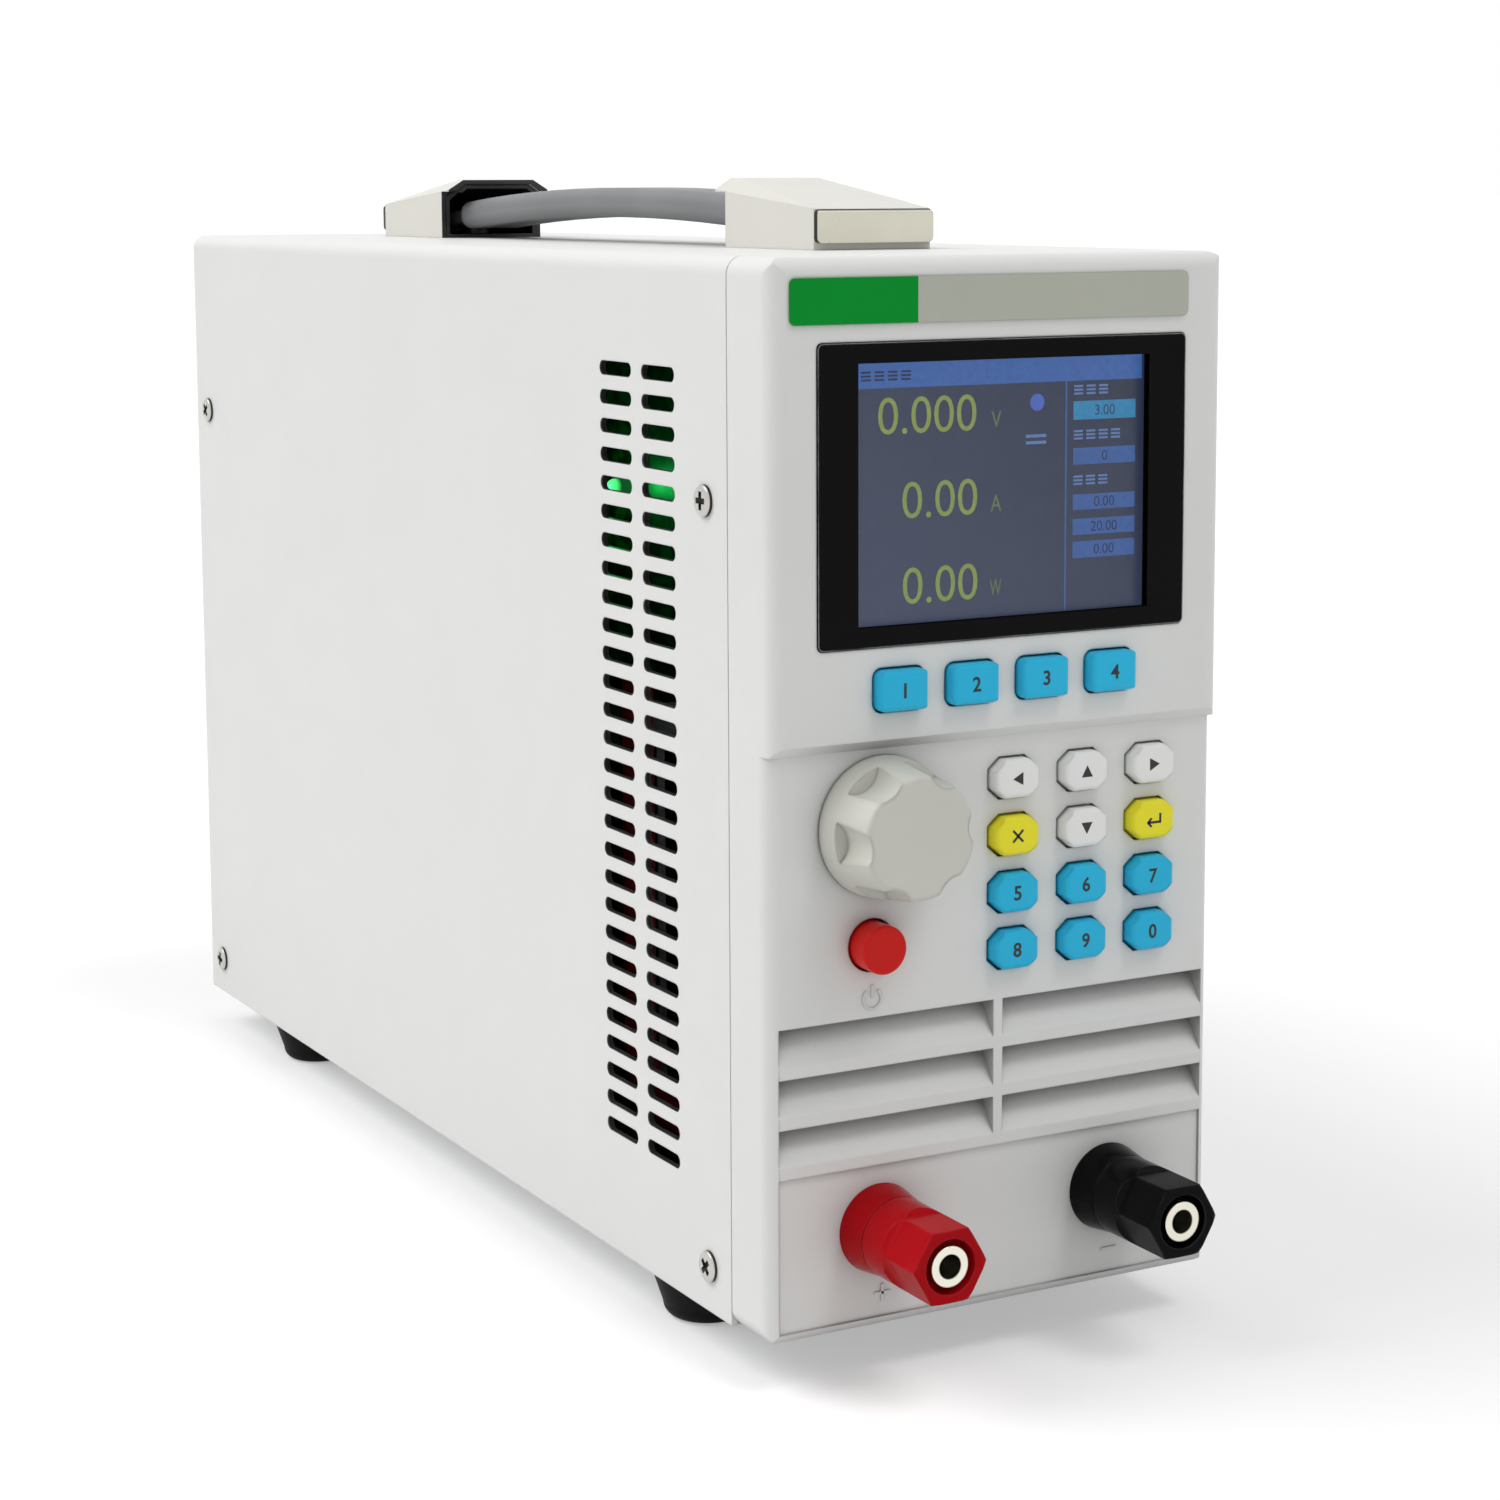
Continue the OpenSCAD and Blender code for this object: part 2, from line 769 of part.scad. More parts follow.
// Puts a piece at each foot in x and y
module foot_places() {
    for (s = [-1, 1], y = [foot_front_y, case_d - foot_rear_inset]) {
        translate([s * (case_w / 2 - foot_inset), y]) children();
    }
}

module rear_panel() {
    color("gainsboro") place() difference() {
        union() {
            along_y(rear_in, case_d) case_outline(sheet_t + fit_gap, 0);
            both_sides() block(inner_x - sheet_t, inner_x, rear_in - flange_w, rear_in + eps,
                sheet_t + fit_gap, inner_top - bend_r);
        }
        rod_y(0, fan_z, fan_bore_d, rear_in - over, case_d + over);
        along_y(rear_in - over, case_d + over) {
            fan_screw_places() circle(d = large_d + 2 * screw_gap);
            translate([-inlet_at, inlet_up]) rounded_rect(mouth_w + 2 * (inlet_wall + fit_gap),
                mouth_h + 2 * (inlet_wall + fit_gap), inlet_r);
            translate([serial_at, serial_up]) rounded_rect(serial_shell_w + 2 * serial_room,
                serial_shell_h + 2 * serial_room, inlet_r);
        }
        cover_screw_cuts();
    }
}

// Puts a shape at each fan screw in x and z
module fan_screw_places() {
    for (sx = [-1, 1], sz = [-1, 1]) {
        translate([sx * fan_screw_pitch / 2, fan_z + sz * fan_screw_pitch / 2]) children();
    }
}

// Puts a shape at each soft key in x and z
module soft_places() {
    for (i = [0 : soft_keys - 1]) {
        translate([(i - (soft_keys - 1) / 2) * soft_step, soft_z]) children();
    }
}

// Puts a shape at each keypad key in x and z
module keypad_places() {
    for (column = [0 : key_columns - 1], row = [0 : key_rows - 1]) {
        translate([keypad_x + column * key_step_x, keypad_z - row * key_step_z]) children();
    }
}

// Solid body of the bezel between two heights, with round front edges
module bezel_body(depth, z0, z1, chamfer) {
    intersection() {
        along_y(-depth, 0) intersection() {
            translate([0, case_h / 2]) rounded_rect(case_w, case_h, bend_r);
            translate([-case_w / 2, z0]) square([case_w, z1 - z0]);
        }
        along_z(z0, z1) nosed_bar(case_w, depth, bezel_edge_r);
        along_x(-case_w, case_w) difference() {
            translate([0, case_h / 2]) rotate(-90) nosed_bar(case_h, depth, bezel_edge_r);
            polygon([[-depth - over, z0 - over], [-depth + chamfer, z0 - over], [-depth + chamfer, z0],
                [-depth, z0 + chamfer], [-depth - over, z0 + chamfer]]);
        }
    }
}

// One sloping slat with an upright front lip, its lower edge at z
module louvre_slat(z) {
    top = z + louvre_step + slat_lap;
    along_x(-side_in - eps, side_in + eps) polygon([
        [front_y, z], [front_y, z + lip_h], [front_y + slat_lean, top],
        [front_y + slat_lean + slat_t, top - slat_t / 2], [front_y + slat_t + slat_t / 3, z]
    ]);
}

module front_bezel() {
    color("gainsboro") place() {
        difference() {
            union() {
                bezel_body(bezel_d, 0, step_z, 0);
                bezel_body(bezel_d + screen_step, step_z - screen_step, case_h, screen_step);
            }
            bezel_hollow();
            bezel_cuts();
        }
        louvre_bank();
        bezel_bosses();
    }
}

// Room behind the front wall, open to the rear
module bezel_hollow() {
    block(-side_in, side_in, wall_y, over, bezel_wall, step_z);
    block(-side_in, side_in, screen_wall_y, over, step_z + screen_step / 2, case_h - bezel_wall);
    block(-side_in, side_in, wall_y, over, step_z - eps, step_z + screen_step);
}

// Openings and recesses in the front wall
module bezel_cuts() {
    through = wall_y + over;
    along_y(screen_y - over, screen_y + lens_t - lens_proud) translate([0, lens_z])
        rounded_rect(glass_w + 2 * snug_gap, glass_h + 2 * snug_gap, lens_r);
    along_y(screen_y - over, through) {
        translate([0, lens_z]) square([glass_w - 2 * lens_ledge, glass_h - lens_ledge / 2], center = true);
        soft_places() rounded_rect(soft_w + 2 * key_gap, soft_h + 2 * key_gap, soft_r + key_gap);
        keypad_places() cut_rect(key_w + 2 * key_gap, key_h + 2 * key_gap, key_cut_w, key_cut_h);
        translate([-side_in, louvre_low]) square([2 * side_in, louvre_top - louvre_low]);
        for (s = [-1, 1]) {
            translate([s * post_x, post_z]) circle(d = spigot_d + 2 * fit_gap);
        }
    }
    rod_y(-knob_at, knob_z, bushing_d + 2 * fit_gap, screen_y - over, through);
    rod_y(-button_at, button_z, button_d + 2 * button_gap, screen_y - over, through);
    block(-side_in, side_in, front_y - over, recess_y, bezel_wall, louvre_low);
}

// Slats and the upright bar between the two halves
module louvre_bank() {
    for (row = [0 : louvre_rows - 1]) {
        louvre_slat(louvre_low + row * louvre_step);
    }
    block(-mullion_w / 2, mullion_w / 2, front_y, front_y + slat_lean + slat_t,
        louvre_low - eps, louvre_top + eps);
}

// Screw bosses for the front board and for the chassis
module bezel_bosses() {
    both_sides() {
        boss(board_boss_z[0], wall_y, board_front);
        boss(board_boss_z[1], screen_wall_y, board_front);
        boss(bezel_boss_z[0], wall_y, 0);
        boss(bezel_boss_z[1], screen_wall_y, 0);
    }
}

// Hollow boss at height z from the front wall back to y1
module boss(z, y0, y1) {
    difference() {
        rod_y(boss_x, z, boss_d, y0 - eps, y1);
        rod_y(boss_x, z, small_d + 2 * screw_gap, max(y0, y1 - small_len - over), y1 + over);
    }
}

module display_lens() {
    color("black") place() along_y(screen_y - lens_proud, screen_y + lens_t - lens_proud)
        translate([0, lens_z]) rounded_rect(glass_w, glass_h, lens_r);
}

module display_module() {
    w = lit_w + 2 * module_border;
    h = lit_h + module_border;
    back = screen_wall_y + snug_gap;
    color("darkslateblue") place() translate([0, 0, lens_z]) {
        block(-w / 2, w / 2, back, back + module_t, -h / 2, h / 2);
        block(-lit_w / 2, lit_w / 2, back - panel_rise, back + eps, -lit_h / 2, lit_h / 2);
    }
}

module name_strip() {
    color("silver") place() along_y(screen_y - strip_t, screen_y)
        translate([strip_x + strip_len / 2, strip_z + strip_h / 2])
        rounded_rect(strip_len, strip_h, strip_h / 8);
}

module front_board() {
    color("darkgreen") place() along_y(board_front, board_back) difference() {
        translate([board_side_gap - side_in, board_low_z])
            square([2 * (side_in - board_side_gap), board_top_z - board_low_z]);
        for (s = [-1, 1], z = board_boss_z) {
            translate([s * boss_x, z]) circle(d = small_d + 2 * screw_gap);
        }
        translate([-button_at, button_z]) square(switch_w + 2 * fit_gap, center = true);
    }
}

module keypad_mat() {
    lap = 4;
    left = keypad_x - key_w / 2 - key_flange_w;
    width = (key_columns - 1) * key_step_x + key_w + 2 * key_flange_w;
    low = keypad_z - (key_rows - 1) * key_step_z - key_h / 2 - key_flange_w;
    soft_span = (soft_keys - 1) * soft_step + soft_w + 2 * key_flange_w;
    color("dimgray") place() along_y(board_front - mat_t, board_front) difference() {
        union() {
            translate([left, low]) square([width, step_z - low]);
            translate([-soft_span / 2, step_z - lap])
                square([soft_span, soft_z + soft_h / 2 + key_flange_w - step_z + lap]);
        }
        soft_places() circle(d = key_stem_d + 2 * key_gap);
        keypad_places() circle(d = key_stem_d + 2 * key_gap);
    }
}

// Flange and stem behind a key, with the flange shape as child, middle at x and z
module key_back(x, z, flange_y) {
    translate([x, 0, z]) {
        along_y(flange_y, flange_y + key_flange_t) children();
        rod_y(0, 0, key_stem_d, flange_y, stem_end);
    }
}

// Soft key number i, counted from the left
module soft_key(i) {
    x = (i - (soft_keys + 1) / 2) * soft_step;
    face = screen_y - key_out;
    flange_y = screen_wall_y + key_seat_gap;
    depth = flange_y + key_flange_t - face;
    color("deepskyblue") place() {
        translate([x, flange_y + key_flange_t, soft_z]) intersection() {
            along_y(-depth, 0) rounded_rect(soft_w, soft_h, soft_r);
            along_z(-soft_h, soft_h) nosed_bar(soft_w, depth, key_edge_r);
            along_x(-soft_w, soft_w) rotate(-90) nosed_bar(soft_h, depth, key_edge_r);
        }
        key_back(x, soft_z, flange_y)
            rounded_rect(soft_w + 2 * key_flange_w, soft_h + 2 * key_flange_w, soft_r);
    }
}

module soft_key_1() { soft_key(1); }
module soft_key_2() { soft_key(2); }
module soft_key_3() { soft_key(3); }
module soft_key_4() { soft_key(4); }

// Keypad key in a column and row counted from the top left
module keypad_key(column, row, tint) {
    x = keypad_x + column * key_step_x;
    z = keypad_z - row * key_step_z;
    face = front_y - key_out;
    flange_y = wall_y + key_seat_gap;
    depth = flange_y + key_flange_t - face;
    color(tint) place() {
        translate([x, flange_y + key_flange_t, z]) intersection() {
            along_y(-depth, 0) cut_rect(key_w, key_h, key_cut_w, key_cut_h);
            along_z(-key_h, key_h) nosed_bar(key_w, depth, key_edge_r);
            along_x(-key_w, key_w) rotate(-90) nosed_bar(key_h, depth, key_edge_r);
        }
        key_back(x, z, flange_y)
            cut_rect(key_w + 2 * key_flange_w, key_h + 2 * key_flange_w, key_cut_w, key_cut_h);
    }
}

module key_left() { keypad_key(0, 0, "white"); }
module key_up() { keypad_key(1, 0, "white"); }
module key_right() { keypad_key(2, 0, "white"); }
module key_yellow_left() { keypad_key(0, 1, "gold"); }
module key_down() { keypad_key(1, 1, "white"); }
module key_yellow_right() { keypad_key(2, 1, "gold"); }
module key_blue_1() { keypad_key(0, 2, "deepskyblue"); }
module key_blue_2() { keypad_key(1, 2, "deepskyblue"); }
module key_blue_3() { keypad_key(2, 2, "deepskyblue"); }
module key_blue_4() { keypad_key(0, 3, "deepskyblue"); }
module key_blue_5() { keypad_key(1, 3, "deepskyblue"); }
module key_blue_6() { keypad_key(2, 3, "deepskyblue"); }

// Turns a piece drawn upwards in z so that it stands out to the front at x, y and z
module facing_front(x, y, z) {
    translate([x, y, z]) rotate([90, 0, 0]) children();
}

module knob() {
    rim = 1;
    face_round = 0.8;
    dish_r = 90;
    dish_depth = 0.5;
    color("whitesmoke") place() facing_front(-knob_at, knob_y, knob_z) difference() {
        rotate_extrude() union() {
            polygon([[0, 0], [knob_base_d / 2, 0], [knob_base_d / 2, rim],
                [knob_face_d / 2, knob_h - face_round], [knob_face_d / 2 - face_round, knob_h], [0, knob_h]]);
            translate([knob_face_d / 2 - face_round, knob_h - face_round]) circle(r = face_round);
        }
        for (i = [0 : knob_scallops - 1]) {
            rotate(i * 360 / knob_scallops + scallop_turn)
                translate([knob_face_d / 2 - scallop_depth + scallop_r, 0, knob_skirt])
                cylinder(r = scallop_r, h = knob_h);
        }
        translate([0, 0, knob_h - dish_depth + dish_r]) sphere(r = dish_r);
        translate([0, 0, -over]) {
            cylinder(d = bushing_d + 2 * bushing_room, h = bushing_reach + bushing_room / 2 + over);
            cylinder(d = shaft_d + 2 * bore_gap, h = shaft_depth + bore_gap + over);
        }
    }
}

module encoder_shaft() {
    color("silver") place() rod_y(-knob_at, knob_z, shaft_d, knob_y - shaft_depth, wall_y + shaft_seat);
}

module encoder_body() {
    color("dimgray") place() difference() {
        union() {
            along_y(wall_y + fit_gap, board_front) translate([-knob_at, knob_z])
                square(encoder_w, center = true);
            rod_y(-knob_at, knob_z, bushing_d, knob_y - bushing_reach, wall_y + shaft_seat);
        }
        rod_y(-knob_at, knob_z, shaft_d + 2 * shaft_gap, screen_y - far, wall_y + shaft_seat + fit_gap);
    }
}

module power_button() {
    edge = 0.5;
    color("red") place() {
        facing_front(-button_at, button_flange_y, button_z) rotate_extrude() {
            h = button_flange_y - front_y + button_out;
            polygon([[0, 0], [button_d / 2, 0], [button_d / 2, h - edge], [button_d / 2 - edge, h], [0, h]]);
            translate([button_d / 2 - edge, h - edge]) circle(r = edge);
        }
        rod_y(-button_at, button_z, button_d + 2 * button_gap + 2 * button_flange_w,
            button_flange_y, button_flange_y + button_flange_t);
        rod_y(-button_at, button_z, plunger_d, button_flange_y, switch_y + plunger_len);
    }
}

module power_switch() {
    color("black") place() difference() {
        along_y(switch_y, switch_y + switch_len) translate([-button_at, button_z])
            square(switch_w, center = true);
        rod_y(-button_at, button_z, plunger_d + 2 * key_gap,
            switch_y - over, switch_y + plunger_len + button_press + over);
    }
}

// Round insulating base of a post, tapered towards the cap
module post_base(x) {
    place() facing_front(x, recess_y, post_z) difference() {
        union() {
            cylinder(d1 = flange_d, d2 = barrel_d, h = flange_len);
            translate([0, 0, recess_y - wall_y]) cylinder(d = spigot_d, h = wall_y - recess_y + eps);
        }
        translate([0, 0, -far]) cylinder(d = tube_d + 2 * thread_gap, h = 2 * far);
    }
}

module post_base_red() { color("crimson") post_base(-post_x); }
module post_base_black() { color("black") post_base(post_x); }

module post_tubes() {
    color("silver") place() for (s = [-1, 1]) {
        difference() {
            rod_y(s * post_x, post_z, tube_d, post_face + tube_set_back, tube_end);
            rod_y(s * post_x, post_z, jack_d, post_face, post_face + tube_set_back + jack_depth);
        }
    }
}

// Pressure washer held in the back of a cap
module post_washer(x) {
    color("silver") place() difference() {
        rod_y(x, post_z, washer_d, base_face - post_gap - washer_t, base_face - post_gap);
        rod_y(x, post_z, tube_d + 2 * thread_gap, base_face - far, base_face + over);
    }
}

module post_washer_red() { post_washer(-post_x); }
module post_washer_black() { post_washer(post_x); }

// Screw cap with a round barrel and a hexagon end whose flats run out in arcs
module post_cap(x) {
    len = cap_back - post_face;
    flat_start = len - hex_len;
    nose = 0.6;
    place() facing_front(x, cap_back, post_z) difference() {
        rotate_extrude() polygon([[0, 0], [barrel_d / 2, 0], [barrel_d / 2, len - nose / 2],
            [barrel_d / 2 - nose, len], [0, len]]);
        for (i = [0 : 5]) {
            rotate(i * 60 + 90) translate([hex_flats / 2, 0, 0]) {
                translate([0, -barrel_d, flat_start]) cube([barrel_d, 2 * barrel_d, len]);
                translate([runout_r, barrel_d, flat_start]) rotate([90, 0, 0])
                    cylinder(r = runout_r, h = 2 * barrel_d);
            }
        }
        translate([0, 0, -over]) {
            cylinder(d = tube_d + 2 * thread_gap, h = len + 2 * over);
            cylinder(d = washer_d + 2 * fit_gap, h = washer_t + post_gap + over);
        }
        translate([0, 0, len - cup_depth]) cylinder(d = cup_d, h = cup_depth + over);
    }
}

module post_cap_red() { color("crimson") post_cap(-post_x); }
module post_cap_black() { color("black") post_cap(post_x); }

module post_nuts() {
    color("silver") place() for (s = [-1, 1]) {
        difference() {
            translate([s * post_x, wall_y, post_z]) rotate([-90, 30, 0])
                cylinder(d = nut_flats / cos(30), h = nut_t, $fn = 6);
            rod_y(s * post_x, post_z, tube_d + 2 * thread_gap, wall_y - over, wall_y + nut_t + over);
        }
    }
}

// Sleeve that holds a lead on the tail of a post
module lead_sleeve(x) {
    difference() {
        rod_y(x, post_z, tube_d + 2 * thread_gap + 2 * sleeve_t,
            tube_end - sleeve_lap, lead_start + sleeve_lap / 2);
        rod_y(x, post_z, tube_d + 2 * thread_gap, tube_end - sleeve_lap - over, lead_start);
    }
}

// Quarter bend of a lead in y and z, from an angle onwards
module lead_elbow(x, y, z, start) {
    translate([x, y, z]) rotate([90, 0, 90]) rotate(start) rotate_extrude(angle = 90)
        translate([lead_bend, 0]) circle(d = lead_d);
}

module red_lead() {
    z_turn = post_z + lead_bend;
    color("red") place() {
        lead_sleeve(-post_x);
        rod_y(-post_x, post_z, lead_d, lead_start, lead_up_y + eps);
        lead_elbow(-post_x, lead_up_y, z_turn, -90);
        translate([-post_x, lead_up_y + lead_bend, z_turn - eps])
            cylinder(d = lead_d, h = board_foot - z_turn + 2 * eps);
        lead_elbow(-post_x, lead_up_y + 2 * lead_bend, board_foot, 90);
        rod_y(-post_x, lead_terminal_z, lead_d, lead_up_y + 2 * lead_bend - eps, terminal_y + lead_bend);
    }
}

module black_lead() {
    color("black") place() {
        lead_sleeve(post_x);
        rod_y(post_x, post_z, lead_d, lead_start, sink_y);
    }
}

// Tapered form of an end cap with y from its trim plate's face, drawn inwards by inset
module cap_form(inset, y0, y1) {
    half = cap_w / 2 - inset;
    slope = (cap_high - cap_low) / cap_len;
    tilt = atan((cap_shoulder - cap_low) / cap_len);
    flat_half = cap_flat_w / 2 - inset / 2;
    intersection() {
        along_x(-half, half) polygon([
            [y0, 0], [y0, cap_low - inset + slope * (y0 - cap_start)],
            [cap_end, cap_high - inset], [y1, cap_high - inset], [y1, 0]
        ]);
        translate([0, cap_end, 0]) rotate([tilt, 0, 0]) along_y(-2 * cap_len, cap_len) polygon([
            [-half, -cap_w], [half, -cap_w], [half, cap_shoulder - inset], [flat_half, cap_high - inset],
            [flat_half, cap_high + cap_w], [-flat_half, cap_high + cap_w], [-flat_half, cap_high - inset],
            [-half, cap_shoulder - inset]
        ]);
    }
}

// Hood of a handle end, open below and towards the strap, its crown reaching over the strap
module handle_cap() {
    difference() {
        cap_form(0, cap_start, hood_end);
        translate([0, 0, -eps]) cap_form(cap_wall, cap_start + cap_wall, hood_end + over);
        block(-cap_w, cap_w, cap_end, hood_end + over, -over, cap_shoulder);
    }
}

module handle_cap_front() {
    color("ivory") place() translate([0, handle_y, case_h]) handle_cap();
}

module handle_cap_rear() {
    color("ivory") place() translate([0, handle_y + handle_len, case_h]) mirror([0, 1, 0]) handle_cap();
}

// Plain plates with round corners and a rounded upper edge
module handle_trims() {
    corner_r = 1;
    fold_r = 0.75 * trim_t;
    h = cap_low - trim_lift;
    color("silver") place() at_handle_ends() intersection() {
        along_y(0, trim_t) translate([0, trim_lift + h / 2]) rounded_rect(cap_w, h, corner_r);
        along_x(-cap_w, cap_w) translate([0, trim_lift]) {
            square([trim_t, h - fold_r]);
            translate([fold_r, 0]) square([trim_t - fold_r, h]);
            translate([fold_r, h - fold_r]) circle(r = fold_r);
        }
    }
}

// Black bracket in a cap: floor, walls, roof lip over the strap and the strap's pin
module handle_bracket() {
    outer = cap_wall + cap_gap;
    inner = outer + bracket_wall;
    start = cap_start + cap_wall + cap_gap;
    lip_end = hood_end - bracket_wall;
    lip_low = cap_high - inner - bracket_wall;
    difference() {
        union() {
            difference() {
                cap_form(outer, start, lip_end);
                difference() {
                    cap_form(inner, start + bracket_wall, lip_end + over);
                    block(-cap_w, cap_w, 0, lip_end + 2 * over, -over, bracket_wall);
                }
                block(-cap_w, cap_w, cap_end, lip_end + over, -over, lip_low);
            }
            translate([0, pin_y, 0]) cylinder(d = pin_d, h = pin_h);
        }
        translate([0, pin_y, -over]) cylinder(d = large_d + 2 * screw_gap, h = pin_h - pin_roof + over);
    }
}

module handle_brackets() {
    color("black") place() at_handle_ends() handle_bracket();
}

// Arch of the strap with a given section as child, between two distances from the handle ends
module strap_arch(from_end) {
    front = asin((crown_y - handle_y - from_end) / strap_arch_r);
    rear = asin((handle_y + handle_len - from_end - crown_y) / strap_arch_r);
    translate([0, crown_y, arch_z]) rotate([90, 0, 90]) rotate(90 - rear)
        rotate_extrude(angle = front + rear) translate([strap_arch_r, 0]) children();
}

module handle_strap() {
    neck = cap_end + neck_gap;
    color("dimgray") place() difference() {
        union() {
            strap_arch(neck) rounded_rect(strap_t, strap_w, strap_r);
            strap_arch(tongue_y) rounded_rect(tongue_t, tongue_w, tongue_t / 4);
        }
        at_handle_ends() along_z(-over, cap_high) translate([0, pin_y]) rotate(90)
            slot_shape(pin_d + 2 * pin_gap + pin_play, pin_d + 2 * pin_gap);
    }
}

module rubber_feet() {
    bore = large_d + 2 * screw_gap;
    well_d = large_head_d + 2 * head_gap;
    color("black") place() translate([0, 0, -foot_h]) foot_places() difference() {
        rotate_extrude() {
            polygon([[0, 0], [foot_bottom_d / 2 - foot_edge_r, 0], [foot_bottom_d / 2, foot_edge_r],
                [foot_top_d / 2, foot_h], [0, foot_h]]);
            translate([foot_bottom_d / 2 - foot_edge_r, foot_edge_r]) circle(r = foot_edge_r);
        }
        translate([0, 0, -over]) {
            cylinder(d = bore, h = foot_h + 2 * over);
            cylinder(d = well_d, h = foot_h / 2 + over);
        }
    }
}

module large_screws() {
    foot_screw_len = foot_h / 2 + sheet_t + screw_tail;
    color("silver") place() {
        translate([0, 0, -foot_h / 2]) foot_places() large_screw(foot_screw_len);
        for (y = [handle_y + pin_y, handle_y + handle_len - pin_y]) {
            translate([0, y, case_h - sheet_t]) large_screw(pin_h - pin_roof + sheet_t / 2);
        }
    }
}

module cover_screws() {
    color("silver") place() both_sides() for (p = cover_screw_places) {
        translate([case_w / 2, p[0], p[1]]) rotate([0, 90, 0]) small_screw();
    }
}

module inner_screws() {
    color("silver") place() for (s = [-1, 1]) {
        for (z = board_boss_z) {
            translate([s * boss_x, board_back, z]) rotate([-90, 0, 0]) small_screw();
        }
        for (z = bezel_boss_z) {
            translate([s * boss_x, fit_gap + sheet_t, z]) rotate([-90, 0, 0]) small_screw();
        }
    }
}

module heat_sink() {
    low = sink_top - sink_base;
    color("lightsteelblue") place() difference() {
        union() {
            block(-sink_wide / 2, sink_wide / 2, sink_y, sink_y + sink_len, low, sink_top);
            for (i = [0 : fin_count - 1]) {
                outer = i == 0 || i == fin_count - 1;
                translate([i * sink_fin_pitch - sink_wide / 2, 0, 0])
                    block(0, fin_t, sink_y, sink_y + sink_len, outer ? sheet_t : fin_floor, low + eps);
            }
            block(post_x - terminal_w / 2, post_x + terminal_w / 2, sink_y, sink_y + terminal_w,
                post_z - terminal_w / 2, low);
        }
        block(-board_at - board_t / 2 - fit_gap, -board_at + board_t / 2 + fit_gap,
            sink_y - over, sink_y + sink_len + over, sink_top - groove_depth, sink_top + over);
    }
}

module power_transistors() {
    body_w = 15.8;
    tab_len = 20.8;
    body_len = 15;
    tab_t = 2;
    body_t = 5;
    hole_d = 3.6;
    hole_in = 2.9;
    first_y = 8;
    color("black") place() for (i = [0 : mosfet_count - 1]) {
        translate([0, sink_y + first_y + i * mosfet_pitch, sink_top]) difference() {
            union() {
                cube([tab_len, body_w, tab_t]);
                cube([body_len, body_w, body_t]);
            }
            translate([tab_len - hole_in, body_w / 2, -over]) cylinder(d = hole_d, h = body_t + 2 * over);
        }
    }
}

module power_board() {
    tongue_in = 8;
    cap_d = 14;
    cap_h = 16;
    cap_pitch = 20;
    cap_count = 3;
    right = -board_at + board_t / 2;
    color("darkgreen") place() {
        along_x(-board_at - board_t / 2, right) union() {
            translate([board_y, board_foot]) square([board_len, board_head - board_foot]);
            translate([sink_y + tongue_in, sink_top - groove_depth])
                square([sink_len - 2 * tongue_in, board_foot - sink_top + groove_depth + over]);
        }
        difference() {
            block(right - eps, -post_x + terminal_w / 3, terminal_y, terminal_y + terminal_w,
                lead_terminal_z - terminal_w / 2, lead_terminal_z + terminal_w / 2);
            rod_y(-post_x, lead_terminal_z, lead_d + 2 * fit_gap,
                terminal_y - over, terminal_y + lead_bend + fit_gap);
        }
        for (i = [0 : cap_count - 1]) {
            translate([right - eps, board_y + board_len / 2 + i * cap_pitch, board_head - cap_d])
                rotate([0, 90, 0]) cylinder(d = cap_d, h = cap_h);
        }
    }
}

module status_lamp() {
    rim = 0.4;
    rim_h = 1;
    left = -board_at - board_t / 2;
    color("lime") place() translate([left, lamp_y, lamp_up]) rotate([0, -90, 0]) {
        cylinder(d = lamp_d, h = lamp_len - lamp_d / 2);
        cylinder(d = lamp_d + 2 * rim, h = rim_h);
        translate([0, 0, lamp_len - lamp_d / 2]) sphere(d = lamp_d);
    }
}

module transformer() {
    x = 8;
    end_gap = 6;
    rear = sink_y + sink_len - end_gap;
    coil_w = core_w * 3 / 4;
    coil_out = 5;
    color("saddlebrown") place() translate([x, rear - core_len / 2, sink_top]) {
        block(-core_w / 2, core_w / 2, -core_len / 2, core_len / 2, 0, core_h / 4);
        block(-core_w / 2, core_w / 2, -core_len / 2, core_len / 2, core_h * 3 / 4, core_h);
        for (s = [-1, 0, 1]) {
            translate([0, s * (core_len / 2 - core_len / 10), 0])
                block(-core_w / 2, core_w / 2, -core_len / 10, core_len / 10, 0, core_h);
        }
        block(-core_w / 2 - coil_out, core_w / 2 + coil_out, -coil_w / 2, coil_w / 2,
            core_h / 4 - eps, core_h * 3 / 4 + eps);
    }
}

module fan_frame() {
    strut_w = 4;
    strut_t = 3;
    bearing_d = hub_d / 3;
    corner_r = 4;
    color("black") place() translate([0, fan_y, fan_z]) {
        along_y(0, fan_d) difference() {
            rounded_rect(fan_w, fan_w, corner_r);
            circle(d = fan_bore_d);
            translate([0, -fan_z]) fan_screw_places() circle(d = large_d + 2 * screw_gap);
        }
        along_y(0, strut_t) difference() {
            union() {
                circle(d = hub_d);
                for (angle = [45, 135]) {
                    rotate(angle) square([fan_bore_d + 2 * over, strut_w], center = true);
                }
            }
            circle(d = axle_d + 2 * shaft_gap);
        }
        along_y(strut_t - eps, fan_d / 2) difference() {
            circle(d = bearing_d);
            circle(d = axle_d + 2 * shaft_gap);
        }
    }
}

